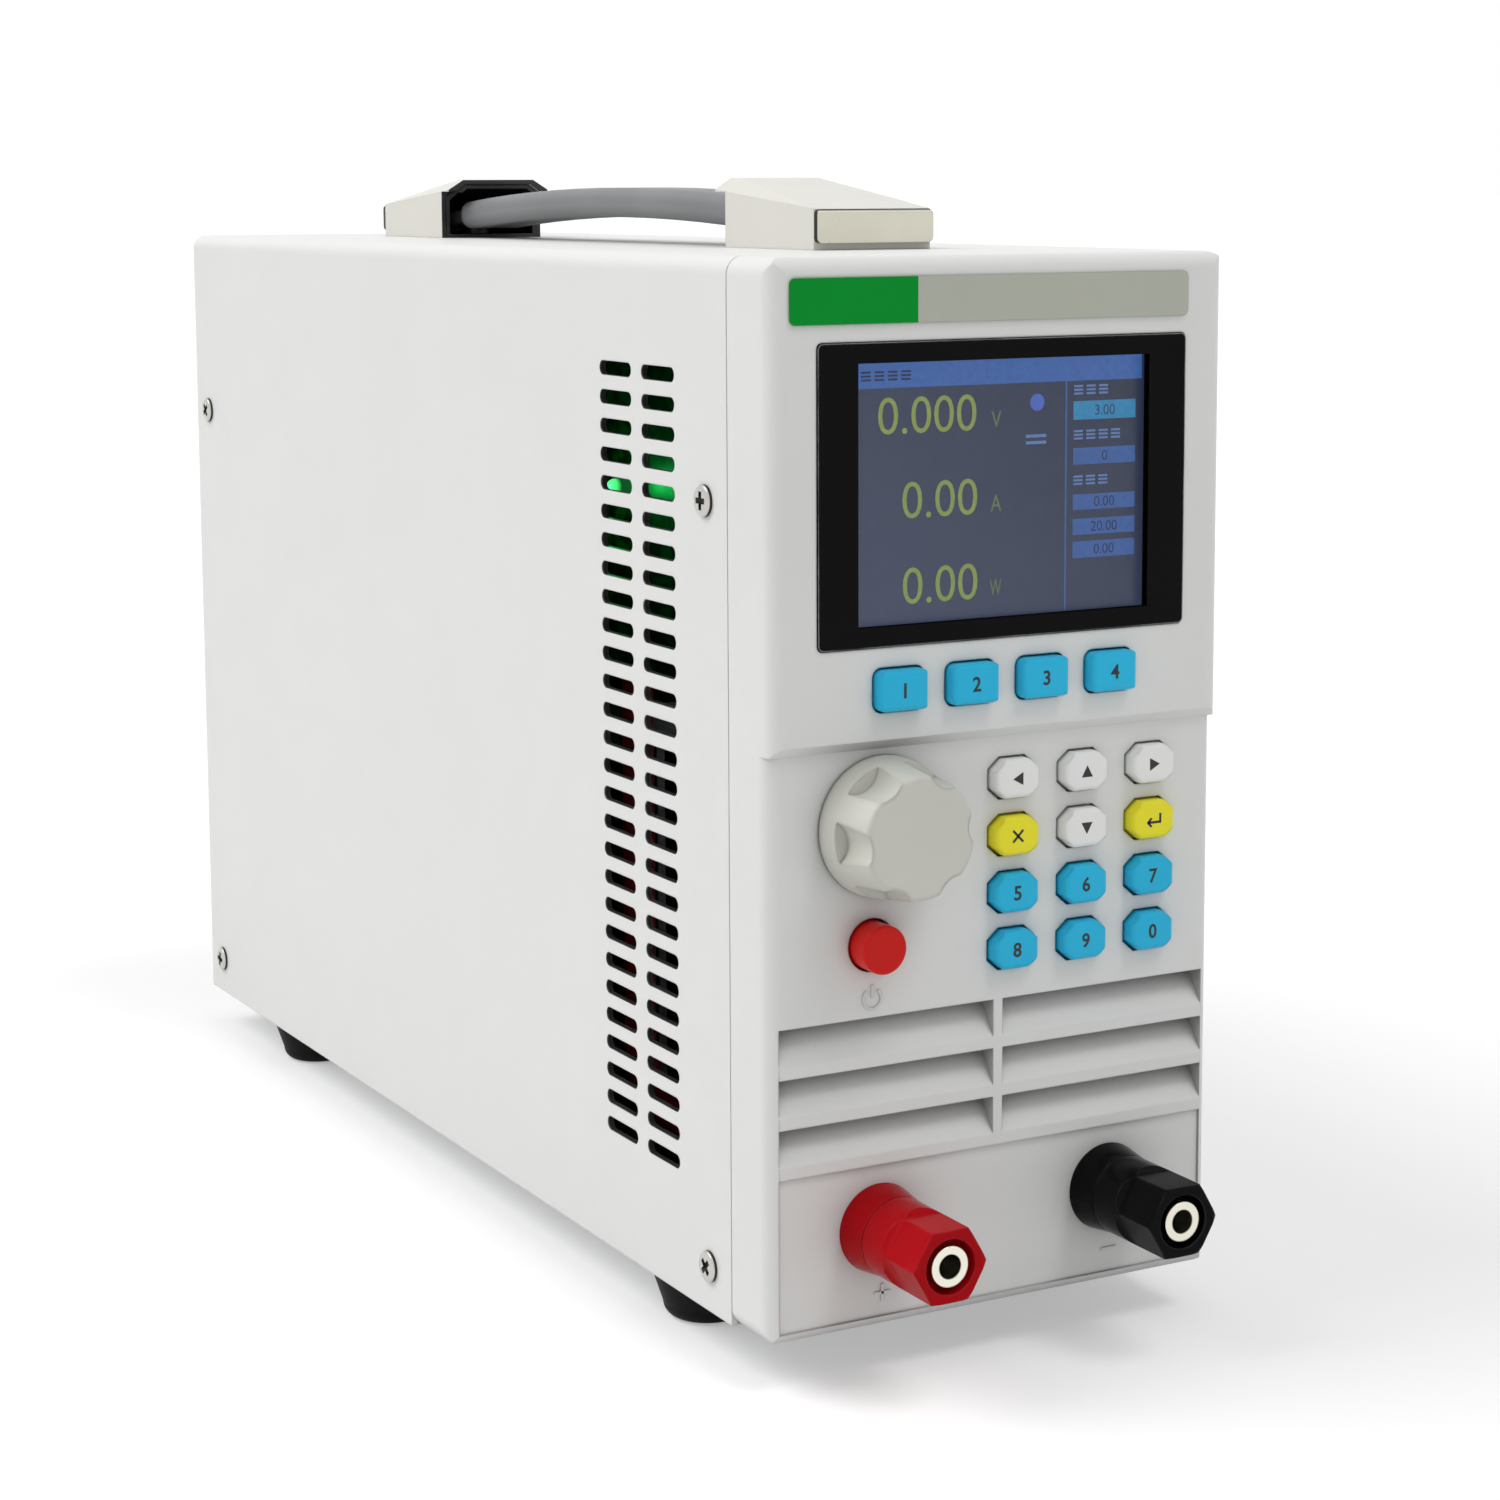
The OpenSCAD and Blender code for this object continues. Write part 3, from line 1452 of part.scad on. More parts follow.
module fan_rotor() {
    hub_y = 4;
    end_gap = 1;
    hub_end = fan_d - end_gap;
    blade_y = (hub_y + hub_end - hub_wall) / 2;
    reach = fan_bore_d / 2 - blade_gap;
    color("dimgray") place() translate([0, fan_y, fan_z]) {
        difference() {
            rod_y(0, 0, hub_d, hub_y, hub_end);
            rod_y(0, 0, hub_d - 2 * hub_wall, hub_y - over, hub_end - hub_wall);
        }
        rod_y(0, 0, axle_d, end_gap, hub_end - end_gap);
        intersection() {
            rod_y(0, 0, 2 * reach, hub_y, hub_end - hub_wall);
            for (i = [0 : blade_count - 1]) {
                rotate([0, i * 360 / blade_count, 0]) translate([hub_d / 2 - hub_wall / 2, blade_y, 0])
                    rotate([blade_angle, 0, 0])
                    block(0, fan_bore_d, -fan_d, fan_d, -blade_t / 2, blade_t / 2);
            }
        }
    }
}

module fan_guard() {
    step = fan_bore_d / 2 / guard_rings;
    spoke_y = case_d + guard_wire_d / 2;
    weld_sink = 0.3;
    ring_y = spoke_y + guard_wire_d - weld_sink;
    eye_d = large_d + 2 * screw_gap + 2 * guard_wire_d;
    corner = fan_screw_pitch / sqrt(2);
    color("silver") place() translate([0, 0, fan_z]) {
        for (i = [1 : guard_rings]) {
            translate([0, ring_y, 0]) rotate([90, 0, 0]) rotate_extrude()
                translate([i * step - guard_wire_d, 0]) circle(d = guard_wire_d);
        }
        for (i = [0 : 3]) {
            rotate([0, 45 + i * 90, 0]) {
                translate([step - guard_wire_d, spoke_y, 0]) rotate([0, 90, 0])
                    cylinder(d = guard_wire_d, h = corner - step + guard_wire_d * 3 / 2 - eye_d / 2);
                translate([corner, spoke_y, 0]) rotate([90, 0, 0]) rotate_extrude()
                    translate([eye_d / 2 - guard_wire_d / 2, 0]) circle(d = guard_wire_d);
            }
        }
    }
}

module fan_screws() {
    seat = case_d + guard_wire_d;
    color("silver") place() for (sx = [-1, 1], sz = [-1, 1]) {
        translate([sx * fan_screw_pitch / 2, seat, fan_z + sz * fan_screw_pitch / 2]) rotate([90, 0, 0])
            large_screw(fan_d + guard_wire_d);
    }
}

module mains_inlet() {
    flange_r = 3;
    corner_cut = 5;
    pin_w = 2;
    pin_h = 4;
    pin_x = 7;
    pin_set_back = 5;
    face = case_d + inlet_flange_t;
    floor_y = face - mouth_depth;
    color("black") place() translate([-inlet_at, 0, inlet_up]) {
        difference() {
            union() {
                along_y(case_d, face) rounded_rect(inlet_w, inlet_h, flange_r);
                along_y(floor_y - inlet_wall, case_d + eps)
                    rounded_rect(mouth_w + 2 * inlet_wall, mouth_h + 2 * inlet_wall, inlet_r);
            }
            along_y(floor_y, face + over) polygon([
                [-mouth_w / 2, mouth_h / 2], [mouth_w / 2, mouth_h / 2],
                [mouth_w / 2, corner_cut - mouth_h / 2],
                [mouth_w / 2 - corner_cut, -mouth_h / 2], [corner_cut - mouth_w / 2, -mouth_h / 2],
                [-mouth_w / 2, corner_cut - mouth_h / 2]
            ]);
        }
        for (p = [[-pin_x, -1], [0, 2], [pin_x, -1]]) {
            translate([p[0], 0, p[1]])
                block(-pin_w / 2, pin_w / 2, floor_y - eps, face - pin_set_back, -pin_h / 2, pin_h / 2);
        }
    }
}

module serial_port() {
    flange_t = 1;
    flange_r = 1.5;
    lean = 1;
    contact_d = 1.2;
    contact_pitch = 2.77;
    upper_count = 5;
    lower_count = 4;
    body_len = 8;
    body_r = 1;
    post_d = 5;
    post_span = 25;
    half_w = serial_shell_w / 2;
    half_h = serial_shell_h / 2;
    face = case_d + serial_out;
    color("silver") place() translate([serial_at, 0, serial_up]) {
        along_y(case_d, case_d + flange_t) rounded_rect(serial_w, serial_h, flange_r);
        difference() {
            along_y(case_d, face)
                polygon([[-half_w, half_h], [half_w, half_h],
                    [half_w - lean, -half_h], [lean - half_w, -half_h]]);
            for (i = [0 : upper_count - 1]) {
                rod_y((i - (upper_count - 1) / 2) * contact_pitch, contact_pitch / 2, contact_d,
                    case_d + flange_t, face + over);
            }
            for (i = [0 : lower_count - 1]) {
                rod_y((i - (lower_count - 1) / 2) * contact_pitch, -contact_pitch / 2, contact_d,
                    case_d + flange_t, face + over);
            }
        }
        along_y(case_d - body_len, case_d + eps) rounded_rect(serial_shell_w, serial_shell_h, body_r);
        for (s = [-1, 1]) {
            difference() {
                translate([s * post_span / 2, case_d, 0]) rotate([-90, 0, 0])
                    cylinder(d = post_d, h = serial_out - over, $fn = 6);
                rod_y(s * post_span / 2, 0, small_d, case_d + flange_t, face);
            }
        }
    }
}

top_cover();
chassis();
rear_panel();
front_bezel();
display_lens();
display_module();
name_strip();
front_board();
keypad_mat();
soft_key_1();
soft_key_2();
soft_key_3();
soft_key_4();
key_left();
key_up();
key_right();
key_yellow_left();
key_down();
key_yellow_right();
key_blue_1();
key_blue_2();
key_blue_3();
key_blue_4();
key_blue_5();
key_blue_6();
knob();
encoder_shaft();
encoder_body();
power_button();
power_switch();
post_base_red();
post_base_black();
post_tubes();
post_washer_red();
post_washer_black();
post_cap_red();
post_cap_black();
post_nuts();
red_lead();
black_lead();
handle_strap();
handle_cap_front();
handle_cap_rear();
handle_trims();
handle_brackets();
rubber_feet();
large_screws();
cover_screws();
inner_screws();
heat_sink();
power_transistors();
power_board();
status_lamp();
transformer();
fan_frame();
fan_rotor();
fan_guard();
fan_screws();
mains_inlet();
serial_port();
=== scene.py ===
"""Looks of a bench dc electronic load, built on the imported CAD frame. Metres, +Z up, front to -Y."""

import json
import math

import bmesh
import bpy
from mathutils import Matrix, Vector


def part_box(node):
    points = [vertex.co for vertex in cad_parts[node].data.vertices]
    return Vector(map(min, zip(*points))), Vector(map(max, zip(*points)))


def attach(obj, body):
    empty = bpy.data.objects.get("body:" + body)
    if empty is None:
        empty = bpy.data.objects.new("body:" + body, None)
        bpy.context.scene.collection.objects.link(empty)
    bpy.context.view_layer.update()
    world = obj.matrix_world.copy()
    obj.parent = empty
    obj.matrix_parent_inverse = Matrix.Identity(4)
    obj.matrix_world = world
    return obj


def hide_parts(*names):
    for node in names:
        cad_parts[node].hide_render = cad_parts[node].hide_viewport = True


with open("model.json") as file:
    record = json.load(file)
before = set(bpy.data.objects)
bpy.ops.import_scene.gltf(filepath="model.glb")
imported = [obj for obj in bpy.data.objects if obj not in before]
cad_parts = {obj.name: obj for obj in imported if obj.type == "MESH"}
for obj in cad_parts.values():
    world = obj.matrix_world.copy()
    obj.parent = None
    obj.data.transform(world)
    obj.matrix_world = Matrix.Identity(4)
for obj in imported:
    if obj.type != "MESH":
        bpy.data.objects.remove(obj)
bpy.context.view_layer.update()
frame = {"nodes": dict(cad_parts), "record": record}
nodes = frame["nodes"]
ROOT = "case"
MM = 0.001


# Small helpers

BRIGHTEST = 0.95


def srgb(code):
    """Linear colour of a hex code, kept under BRIGHTEST."""
    out = []
    for i in (1, 3, 5):
        c = int(code[i:i + 2], 16) / 255
        c = c / 12.92 if c <= 0.04045 else ((c + 0.055) / 1.055) ** 2.4
        out.append(min(c, BRIGHTEST))
    return tuple(out) + (1.0,)


def shade(color, k):
    """A colour made lighter or darker by k."""
    return tuple(min(max(c * k, 0.0), 1.0) for c in color[:3]) + (1.0,)


def corners(node):
    """Lowest and highest corner of a CAD node's box."""
    low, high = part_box(node)
    return Vector(low), Vector(high)


def centre(node):
    """Middle of a CAD node's box."""
    low, high = corners(node)
    return (low + high) / 2


def front(node):
    """The y of a CAD node's front face."""
    return corners(node)[0].y


def place(name, data):
    """A new object in the scene."""
    obj = bpy.data.objects.new(name, data)
    bpy.context.scene.collection.objects.link(obj)
    return obj


def add_object(name, mesh, body, material):
    """A mesh as a piece that rides on a body."""
    obj = place(name, mesh)
    obj.data.materials.append(material)
    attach(obj, body)
    return obj


def finished(name, bm):
    """A mesh from a bmesh, which is freed."""
    mesh = bpy.data.meshes.new(name)
    bm.to_mesh(mesh)
    bm.free()
    return mesh


def evaluated(obj):
    """The mesh that an object makes, with its modifiers."""
    return bpy.data.meshes.new_from_object(obj.evaluated_get(bpy.context.evaluated_depsgraph_get()))


# Materials

# Finished materials by name
looks = {}
WHITE = (1.0, 1.0, 1.0, 1.0)

# Sockets of a Mix node that mixes colours
MIX_A = 6
MIX_B = 7
MIX_RESULT = 2

NOISE_ROUGHNESS = 0.55
BEVEL_SAMPLES = 4
SKY_SAMPLES = 6
# How far a rounded normal agrees with the true one on a sharp edge and on a flat place
EDGE_SHARP = 0.80
EDGE_FLAT = 0.99


class Look:
    """A principled material, kept in looks, with a few shortcuts for its nodes."""

    def __init__(self, name):
        material = bpy.data.materials.new(name)
        looks[name] = material
        material.use_nodes = True
        self.tree = material.node_tree
        self.tree.nodes.clear()
        self.bsdf = self.node("BsdfPrincipled")
        out = self.node("OutputMaterial")
        self.link(self.bsdf.outputs[0], out.inputs["Surface"])
        self.coords = self.node("TexCoord").outputs["Object"]

    def node(self, kind, **settings):
        """A new node of the material."""
        n = self.tree.nodes.new("ShaderNode" + kind)
        for key, value in settings.items():
            setattr(n, key, value)
        return n

    def link(self, a, b):
        """A link from an output to an input."""
        self.tree.links.new(a, b)

    def feed(self, name, socket):
        """Lead a value to an input of the principled shader."""
        self.link(socket, self.bsdf.inputs[name])

    def set(self, **values):
        """Fixed values of the principled shader, with _ for each space in a name."""
        for key, value in values.items():
            self.bsdf.inputs[key.replace("_", " ")].default_value = value

    def noise(self, scale, detail=2.0, stretch=None):
        """Noise in object space, with an optional stretch along each axis."""
        n = self.node("TexNoise")
        n.inputs["Scale"].default_value = scale
        n.inputs["Detail"].default_value = detail
        n.inputs["Roughness"].default_value = NOISE_ROUGHNESS
        source = self.coords
        if stretch:
            m = self.node("Mapping")
            m.inputs["Scale"].default_value = stretch
            self.link(source, m.inputs["Vector"])
            source = m.outputs["Vector"]
        self.link(source, n.inputs["Vector"])
        return n.outputs["Fac"]

    def spread(self, value, low, high, from_low=0.3, from_high=0.7):
        """A value moved into another range."""
        n = self.node("MapRange")
        n.inputs["From Min"].default_value = from_low
        n.inputs["From Max"].default_value = from_high
        n.inputs["To Min"].default_value = low
        n.inputs["To Max"].default_value = high
        self.link(value, n.inputs["Value"])
        return n.outputs["Result"]

    def mix(self, factor, a, b):
        """Colour mix; a and b are colours or sockets."""
        n = self.node("Mix", data_type="RGBA")
        self.link(factor, n.inputs["Factor"])
        for socket, v in ((n.inputs[MIX_A], a), (n.inputs[MIX_B], b)):
            if isinstance(v, tuple):
                socket.default_value = v
            else:
                self.link(v, socket)
        return n.outputs[MIX_RESULT]

    def math(self, kind, a, b=0.0):
        """A sum, product or comparison; a and b are numbers or sockets."""
        n = self.node("Math", operation=kind)
        for socket, v in ((n.inputs[0], a), (n.inputs[1], b)):
            if isinstance(v, (int, float)):
                socket.default_value = v
            else:
                self.link(v, socket)
        return n.outputs[0]

    def axis(self, name):
        """One coordinate of the object-space position."""
        n = self.node("SeparateXYZ")
        self.link(self.coords, n.inputs[0])
        return n.outputs[name]

    def normal(self, name):
        """One component of the surface's normal."""
        n = self.node("SeparateXYZ")
        self.link(self.node("NewGeometry").outputs["Normal"], n.inputs[0])
        return n.outputs[name]

    def soft_edges(self, radius):
        """Normal with rounded edges."""
        n = self.node("Bevel", samples=BEVEL_SAMPLES)
        n.inputs["Radius"].default_value = radius
        return n.outputs["Normal"]

    def edge_mask(self, radius):
        """About 1 on sharp edges and 0 on flat places."""
        d = self.node("VectorMath", operation="DOT_PRODUCT")
        self.link(self.soft_edges(radius), d.inputs[0])
        self.link(self.node("NewGeometry").outputs["Normal"], d.inputs[1])
        return self.spread(d.outputs["Value"], 1.0, 0.0, EDGE_SHARP, EDGE_FLAT)

    def rough(self, scale, detail, low, high):
        """Rough and smooth patches."""
        self.feed("Roughness", self.spread(self.noise(scale, detail), low, high))

    def bump(self, height, strength, distance, radius):
        """Fine relief, over a normal with rounded edges."""
        n = self.node("Bump")
        n.inputs["Strength"].default_value = strength
        n.inputs["Distance"].default_value = distance
        self.link(height, n.inputs["Height"])
        self.link(self.soft_edges(radius), n.inputs["Normal"])
        self.feed("Normal", n.outputs["Normal"])


# Scale per metre and detail of the noise for the drift, the gloss and the painted edge sheen of a finish
DRIFT_NOISE = (28.0, 3.0)
GLOSS_NOISE = (75.0, 5.0)
EDGE_SHEEN_NOISE = (140.0, 4.0)
# Noise at which the painted edge sheen starts and is full, and its reach as a share of the soft edge
EDGE_SHEEN_START = 0.4
EDGE_SHEEN_FULL = 0.65
EDGE_SHEEN_REACH = 1.6
# Share of open sky at which the painted crevice shade is full and gone, and its shade of the base colour
CREVICE_SHADE_FULL = 0.2
CREVICE_SHADE_GONE = 0.8
CREVICE_SHADE_TONE = 0.3


def surface(name, color, rough, metal=0.0, tint=0.03, grain=900.0, bump=0.2, depth=0.05, edge=0.25,
            wear=0.0, edge_sheen_color=None, stretch=None, spread=0.06, second=None, crevice_shade=0.0, reach=14.0,
            **values):
    """Material with colour drift, rough and smooth patches, a fine bump, soft edges, edges painted in
    edge_sheen_color (a painted highlight where it is lighter and painted shade where it is darker) and
    painted shade in crevices.
    grain is per metre; depth, edge and reach are in millimetres; second is a function that paints the base
    colour in place of color."""
    k = Look(name)
    drift = k.spread(k.noise(*DRIFT_NOISE), 0.0, 1.0)
    if second:
        n = k.node("Mix", data_type="RGBA", blend_type="MULTIPLY")
        n.inputs["Factor"].default_value = 1.0
        k.link(second(k), n.inputs[MIX_A])
        k.link(k.mix(drift, shade(WHITE, 1 - tint), WHITE), n.inputs[MIX_B])
        shown = n.outputs[MIX_RESULT]
    else:
        shown = k.mix(drift, shade(color, 1 - tint), shade(color, 1 + tint))
    # Edge sheen: the edges are painted in edge_sheen_color, a painted highlight where it is lighter than
    # the base and painted shade where it is darker
    if wear:
        patches = k.spread(k.noise(*EDGE_SHEEN_NOISE), 0.0, wear, EDGE_SHEEN_START, EDGE_SHEEN_FULL)
        mask = k.math("MULTIPLY", k.edge_mask(edge * MM * EDGE_SHEEN_REACH), patches)
        shown = k.mix(mask, shown, edge_sheen_color)
    # Painted shade in crevices: the base colour is darkened where the surface sees little open sky
    if crevice_shade:
        sky = k.node("AmbientOcclusion", samples=SKY_SAMPLES)
        sky.inputs["Distance"].default_value = reach * MM
        mask = k.spread(sky.outputs["AO"], crevice_shade, 0.0, CREVICE_SHADE_FULL, CREVICE_SHADE_GONE)
        shown = k.mix(mask, shown, shade(color, CREVICE_SHADE_TONE))
    k.feed("Base Color", shown)
    k.rough(*GLOSS_NOISE, rough - spread, rough + spread)
    k.bump(k.noise(grain, 2.0, stretch), bump, depth * MM, edge * MM)
    k.set(Metallic=metal, **values)


GREY = srgb("#E5E5E3")
BEZEL = srgb("#E4E5E3")
CAP = srgb("#DCDAD2")
TRIM = srgb("#D2CFC0")

# How deep in the cover's skin the vents' walls lie, how far from its ends, and how far they may face out
VENT_SKIN = 1.5 * MM
VENT_MARGIN = 8 * MM
VENT_FACING = 0.6


def vent_walls(k):
    """Paint, with painted shade on the punched walls of the side vents, which face along the sheet and not
    out of it.
    """
    low, high = corners("top_cover")
    along = k.math("LESS_THAN", k.math("ABSOLUTE", k.normal("X")), VENT_FACING)
    outer = k.math("GREATER_THAN", k.math("ABSOLUTE", k.axis("X")), high.x - VENT_SKIN)
    mask = k.math("MULTIPLY", along, outer)
    for name, start, end in (("Y", low.y, high.y), ("Z", low.z, high.z)):
        mask = k.math("MULTIPLY", mask, k.math("GREATER_THAN", k.axis(name), start + VENT_MARGIN))
        mask = k.math("MULTIPLY", mask, k.math("LESS_THAN", k.axis(name), end - VENT_MARGIN))
    return k.mix(mask, GREY, srgb("#2A2C2A"))


# Noise scale of the board's patches, and the noise at which they start and are full
PATCH_SCALE = 230.0
PATCH_START = 0.42
PATCH_FULL = 0.6


def board_patches(k):
    """Dark green board with patches the size of its small parts."""
    patches = k.spread(k.noise(PATCH_SCALE), 0.0, 1.0, PATCH_START, PATCH_FULL)
    return k.mix(patches, srgb("#030805"), srgb("#0E3A1F"))


# How squarely a trim plate's surface faces front or rear where its painted edge shade is full and where it
# is gone
TRIM_SHADED = 0.6
TRIM_UNSHADED = 0.85


def trim_sides(k):
    """Nickel on the outer face of a trim plate, with painted shade on its edges."""
    facing = k.spread(k.math("ABSOLUTE", k.normal("Y")), 0.0, 1.0, TRIM_SHADED, TRIM_UNSHADED)
    return k.mix(facing, srgb("#23231F"), TRIM)


# How squarely a rim of a cap's hood faces the strap's middle to be black
RIM_FACING = -0.7


def hood_rims(k):
    """Cap colour, black on the rims that face the strap's middle, where the bracket closes the hood."""
    inward = k.math("MULTIPLY", k.normal("Y"), k.math("SIGN", k.axis("Y")))
    return k.mix(k.math("LESS_THAN", inward, RIM_FACING), CAP, srgb("#161617"))


# Length of the green part of the strip
GREEN_LENGTH = 23.4 * MM


def two_tone(k):
    """Green left part and silver right part of the strip."""
    split = corners("name_strip")[0].x + GREEN_LENGTH
    return k.mix(k.math("GREATER_THAN", k.axis("X"), split), srgb("#0B9633"), srgb("#BDC0B3"))


# Case, bezel and strip
# case_paint: a painted highlight along its edges, and painted shade on the vents' walls
surface("case_paint", GREY, 0.46, tint=0.012, grain=1500.0, bump=0.22, depth=0.06, edge=0.5,
        wear=0.25, edge_sheen_color=srgb("#F4F4F2"), second=vent_walls)
# bezel_plastic: a painted highlight along its edges, and painted shade in its crevices and louvres
surface("bezel_plastic", BEZEL, 0.48, tint=0.012, grain=2200.0, bump=0.16, edge=0.45,
        wear=0.4, edge_sheen_color=srgb("#F8F9F7"), crevice_shade=1.0)
surface("raised_mark", shade(BEZEL, 0.92), 0.5, tint=0.02, grain=2200.0, bump=0.1, edge=0.05)
surface("strip", GREY, 0.34, grain=1500.0, bump=0.06, edge=0.1, second=two_tone,
        Specular_IOR_Level=0.05)

# Keys, knob, button and their ink
KEY_FINISH = {"grain": 2400.0, "bump": 0.08, "edge": 0.9}
surface("key_blue", srgb("#26BEEA"), 0.34, Specular_IOR_Level=0.25, **KEY_FINISH)
surface("key_white", srgb("#F2F3F1"), 0.36, tint=0.012, **KEY_FINISH)
surface("key_yellow", srgb("#F7EE30"), 0.36, Specular_IOR_Level=0.25, **KEY_FINISH)
# knob_plastic: light painted shade in its crevices
surface("knob_plastic", srgb("#D2D2C9"), 0.42, tint=0.012, grain=1800.0, bump=0.08, edge=1.1, crevice_shade=0.35)
surface("button_red", srgb("#DC1C16"), 0.3, tint=0.05, grain=1500.0, bump=0.06, edge=0.3,
        Specular_IOR_Level=0.15)
surface("ink", srgb("#15171B"), 0.5, tint=0.1, grain=2000.0, edge=0.05)

# Posts, nickel and screws
# The posts' edges are painted lighter, a painted highlight along their rims
POST_FINISH = {"grain": 500.0, "bump": 0.08, "depth": 0.08, "edge": 0.35, "wear": 0.5,
               "Specular_IOR_Level": 0.05}
surface("post_red", srgb("#A80812"), 0.18, tint=0.06, edge_sheen_color=srgb("#E0565E"), **POST_FINISH)
surface("post_black", srgb("#0B0C0C"), 0.2, tint=0.2, edge_sheen_color=srgb("#5A5D5E"), **POST_FINISH)
# nickel: its edges are painted dark, a painted shade along the rims
surface("nickel", srgb("#E6E2D4"), 0.2, 1.0, bump=0.06, depth=0.03, spread=0.08,
        wear=0.8, edge_sheen_color=srgb("#3A3A34"))
surface("trim_nickel", TRIM, 0.24, 1.0, tint=0.06, bump=0.08, depth=0.03, edge=0.2, spread=0.08,
        second=trim_sides)
# bright_steel: painted shade close around the screws' recesses and heads
surface("bright_steel", srgb("#C4C2BD"), 0.28, 1.0, grain=700.0, bump=0.12, edge=0.2, crevice_shade=1.0, reach=1.2)
# recess: dark steel for the screws' cross recesses and head rims, a painted shade
surface("recess", srgb("#33322E"), 0.5, 0.6, tint=0.2, bump=0.1, edge=0.05)

# Handle and feet
surface("strap_vinyl", srgb("#77797B"), 0.5, tint=0.08, grain=1300.0, bump=0.35, depth=0.08)
surface("cap_plastic", CAP, 0.36, tint=0.015, grain=1200.0, bump=0.08, edge=0.45, second=hood_rims)
surface("foot_rubber", srgb("#0E0F0F"), 0.6, tint=0.15, grain=1400.0, bump=0.3, Specular_IOR_Level=0.12)

# Inside and rear
surface("chassis_steel", srgb("#A9ABAC"), 0.42, 0.9, grain=60.0, stretch=(1.0, 20.0, 20.0))
surface("sink_aluminium", srgb("#8F9294"), 0.4, 0.9, grain=60.0, stretch=(20.0, 1.0, 20.0))
surface("board", srgb("#07180D"), 0.4, tint=0.2, grain=500.0, second=board_patches, Specular_IOR_Level=0.2)
surface("mat_rubber", srgb("#4A4B4D"), 0.7, grain=1200.0)
surface("black_plastic", srgb("#1A1A1B"), 0.45, tint=0.15, grain=1600.0)
surface("lead_red", srgb("#B31217"), 0.5)
surface("lead_black", srgb("#151515"), 0.5)
surface("core", srgb("#5A4630"), 0.55, tint=0.12, stretch=(1.0, 1.0, 4.0))

# Half sizes of the window's clear part over the lit area, and how far it still tints it
CLEAR_HALF_W = 28.2 * MM
CLEAR_HALF_H = 21.3 * MM
CLEAR_TINT = 0.07
# Scale and detail of the noise for the window's black, painted edge highlight and gloss, and its roughness
# range
BLACK_NOISE = (50.0, 4.0)
EDGE_HIGHLIGHT_NOISE = (60.0, 5.0)
WINDOW_GLOSS = (120.0, 6.0, 0.06, 0.16)
# Least share of the painted edge highlight that shows, the noise at which it starts and is full, and its
# reach
EDGE_HIGHLIGHT_LEAST = 0.3
EDGE_HIGHLIGHT_START = 0.4
EDGE_HIGHLIGHT_FULL = 0.56
EDGE_HIGHLIGHT_REACH = 0.35 * MM
# Scale, strength and depth of the window's waviness, and the radius of its edges
WAVE_SCALE = 30.0
WAVE_STRENGTH = 0.03
WAVE_DEPTH = 0.05 * MM
WINDOW_EDGE = 0.2 * MM


def window_look():
    """Gloss black window, clear over the lit area, with a painted highlight along its edges, broken up by
    noise.
    """
    k = Look("window")
    clear_x = k.math("LESS_THAN", k.math("ABSOLUTE", k.axis("X")), CLEAR_HALF_W)
    up = k.math("SUBTRACT", k.axis("Z"), centre("display_module").z)
    clear_z = k.math("LESS_THAN", k.math("ABSOLUTE", up), CLEAR_HALF_H)
    clear = k.math("MULTIPLY", clear_x, clear_z)
    k.feed("Alpha", k.spread(clear, 1.0, CLEAR_TINT, 0.0, 1.0))
    black = k.mix(k.noise(*BLACK_NOISE), srgb("#050506"), srgb("#0D0D0E"))
    patches = k.spread(k.noise(*EDGE_HIGHLIGHT_NOISE), EDGE_HIGHLIGHT_LEAST, 1.0, EDGE_HIGHLIGHT_START, EDGE_HIGHLIGHT_FULL)
    edge_highlight = k.math("MULTIPLY", k.edge_mask(EDGE_HIGHLIGHT_REACH), patches)
    k.feed("Base Color", k.mix(edge_highlight, black, srgb("#C4C8C8")))
    k.rough(*WINDOW_GLOSS)
    k.set(Specular_IOR_Level=0.055)
    k.bump(k.noise(WAVE_SCALE), WAVE_STRENGTH, WAVE_DEPTH, WINDOW_EDGE)


# Scale and detail of the noise in the screen's gloss, and its lowest and highest roughness
SCREEN_GLOSS = (40.0, 2.0, 0.32, 0.42)
# Where across the display its backlight is dimmest and brightest
DIM_X = 25 * MM
BRIGHT_X = -28 * MM
# Scale and detail of the noise from dot to dot, and how far it moves the backlight
PANEL_NOISE = (700.0, 1.0)
PANEL_DRIFT = 0.06


def display_look():
    """Backlit panel: dark blue-grey, lighter towards its lower left."""
    k = Look("display")
    low, high = corners("display_module")
    across = k.spread(k.axis("X"), 0.0, 0.5, DIM_X, BRIGHT_X)
    down = k.spread(k.axis("Z"), 0.0, 0.5, high.z, low.z)
    dots = k.spread(k.noise(*PANEL_NOISE), -PANEL_DRIFT, PANEL_DRIFT)
    glow = k.math("ADD", k.math("ADD", across, down), dots)
    k.feed("Emission Color", k.mix(glow, srgb("#262D42"), srgb("#3E465D")))
    k.rough(*SCREEN_GLOSS)
    k.set(Base_Color=(0.012, 0.014, 0.02, 1.0), Emission_Strength=1.0)


# Scale and detail of the noise from dot to dot of a screen colour, and the shade of its dimmest dots
DOT_NOISE = (900.0, 1.0)
DOT_SHADE = 0.85


def lit(name, color):
    """Screen colour that glows, a little uneven from dot to dot."""
    k = Look(name)
    flicker = k.spread(k.noise(*DOT_NOISE), 0.0, 1.0)
    k.feed("Emission Color", k.mix(flicker, shade(color, DOT_SHADE), color))
    k.rough(*SCREEN_GLOSS)
    k.set(Base_Color=(0.01, 0.01, 0.012, 1.0), Emission_Strength=1.0)


# Length of the lamp's lens that glows, how strongly, and the noise scale of its colour
GLOW_LENGTH = 2.2 * MM
GLOW_STRENGTH = 2.6
LENS_SCALE = 300.0
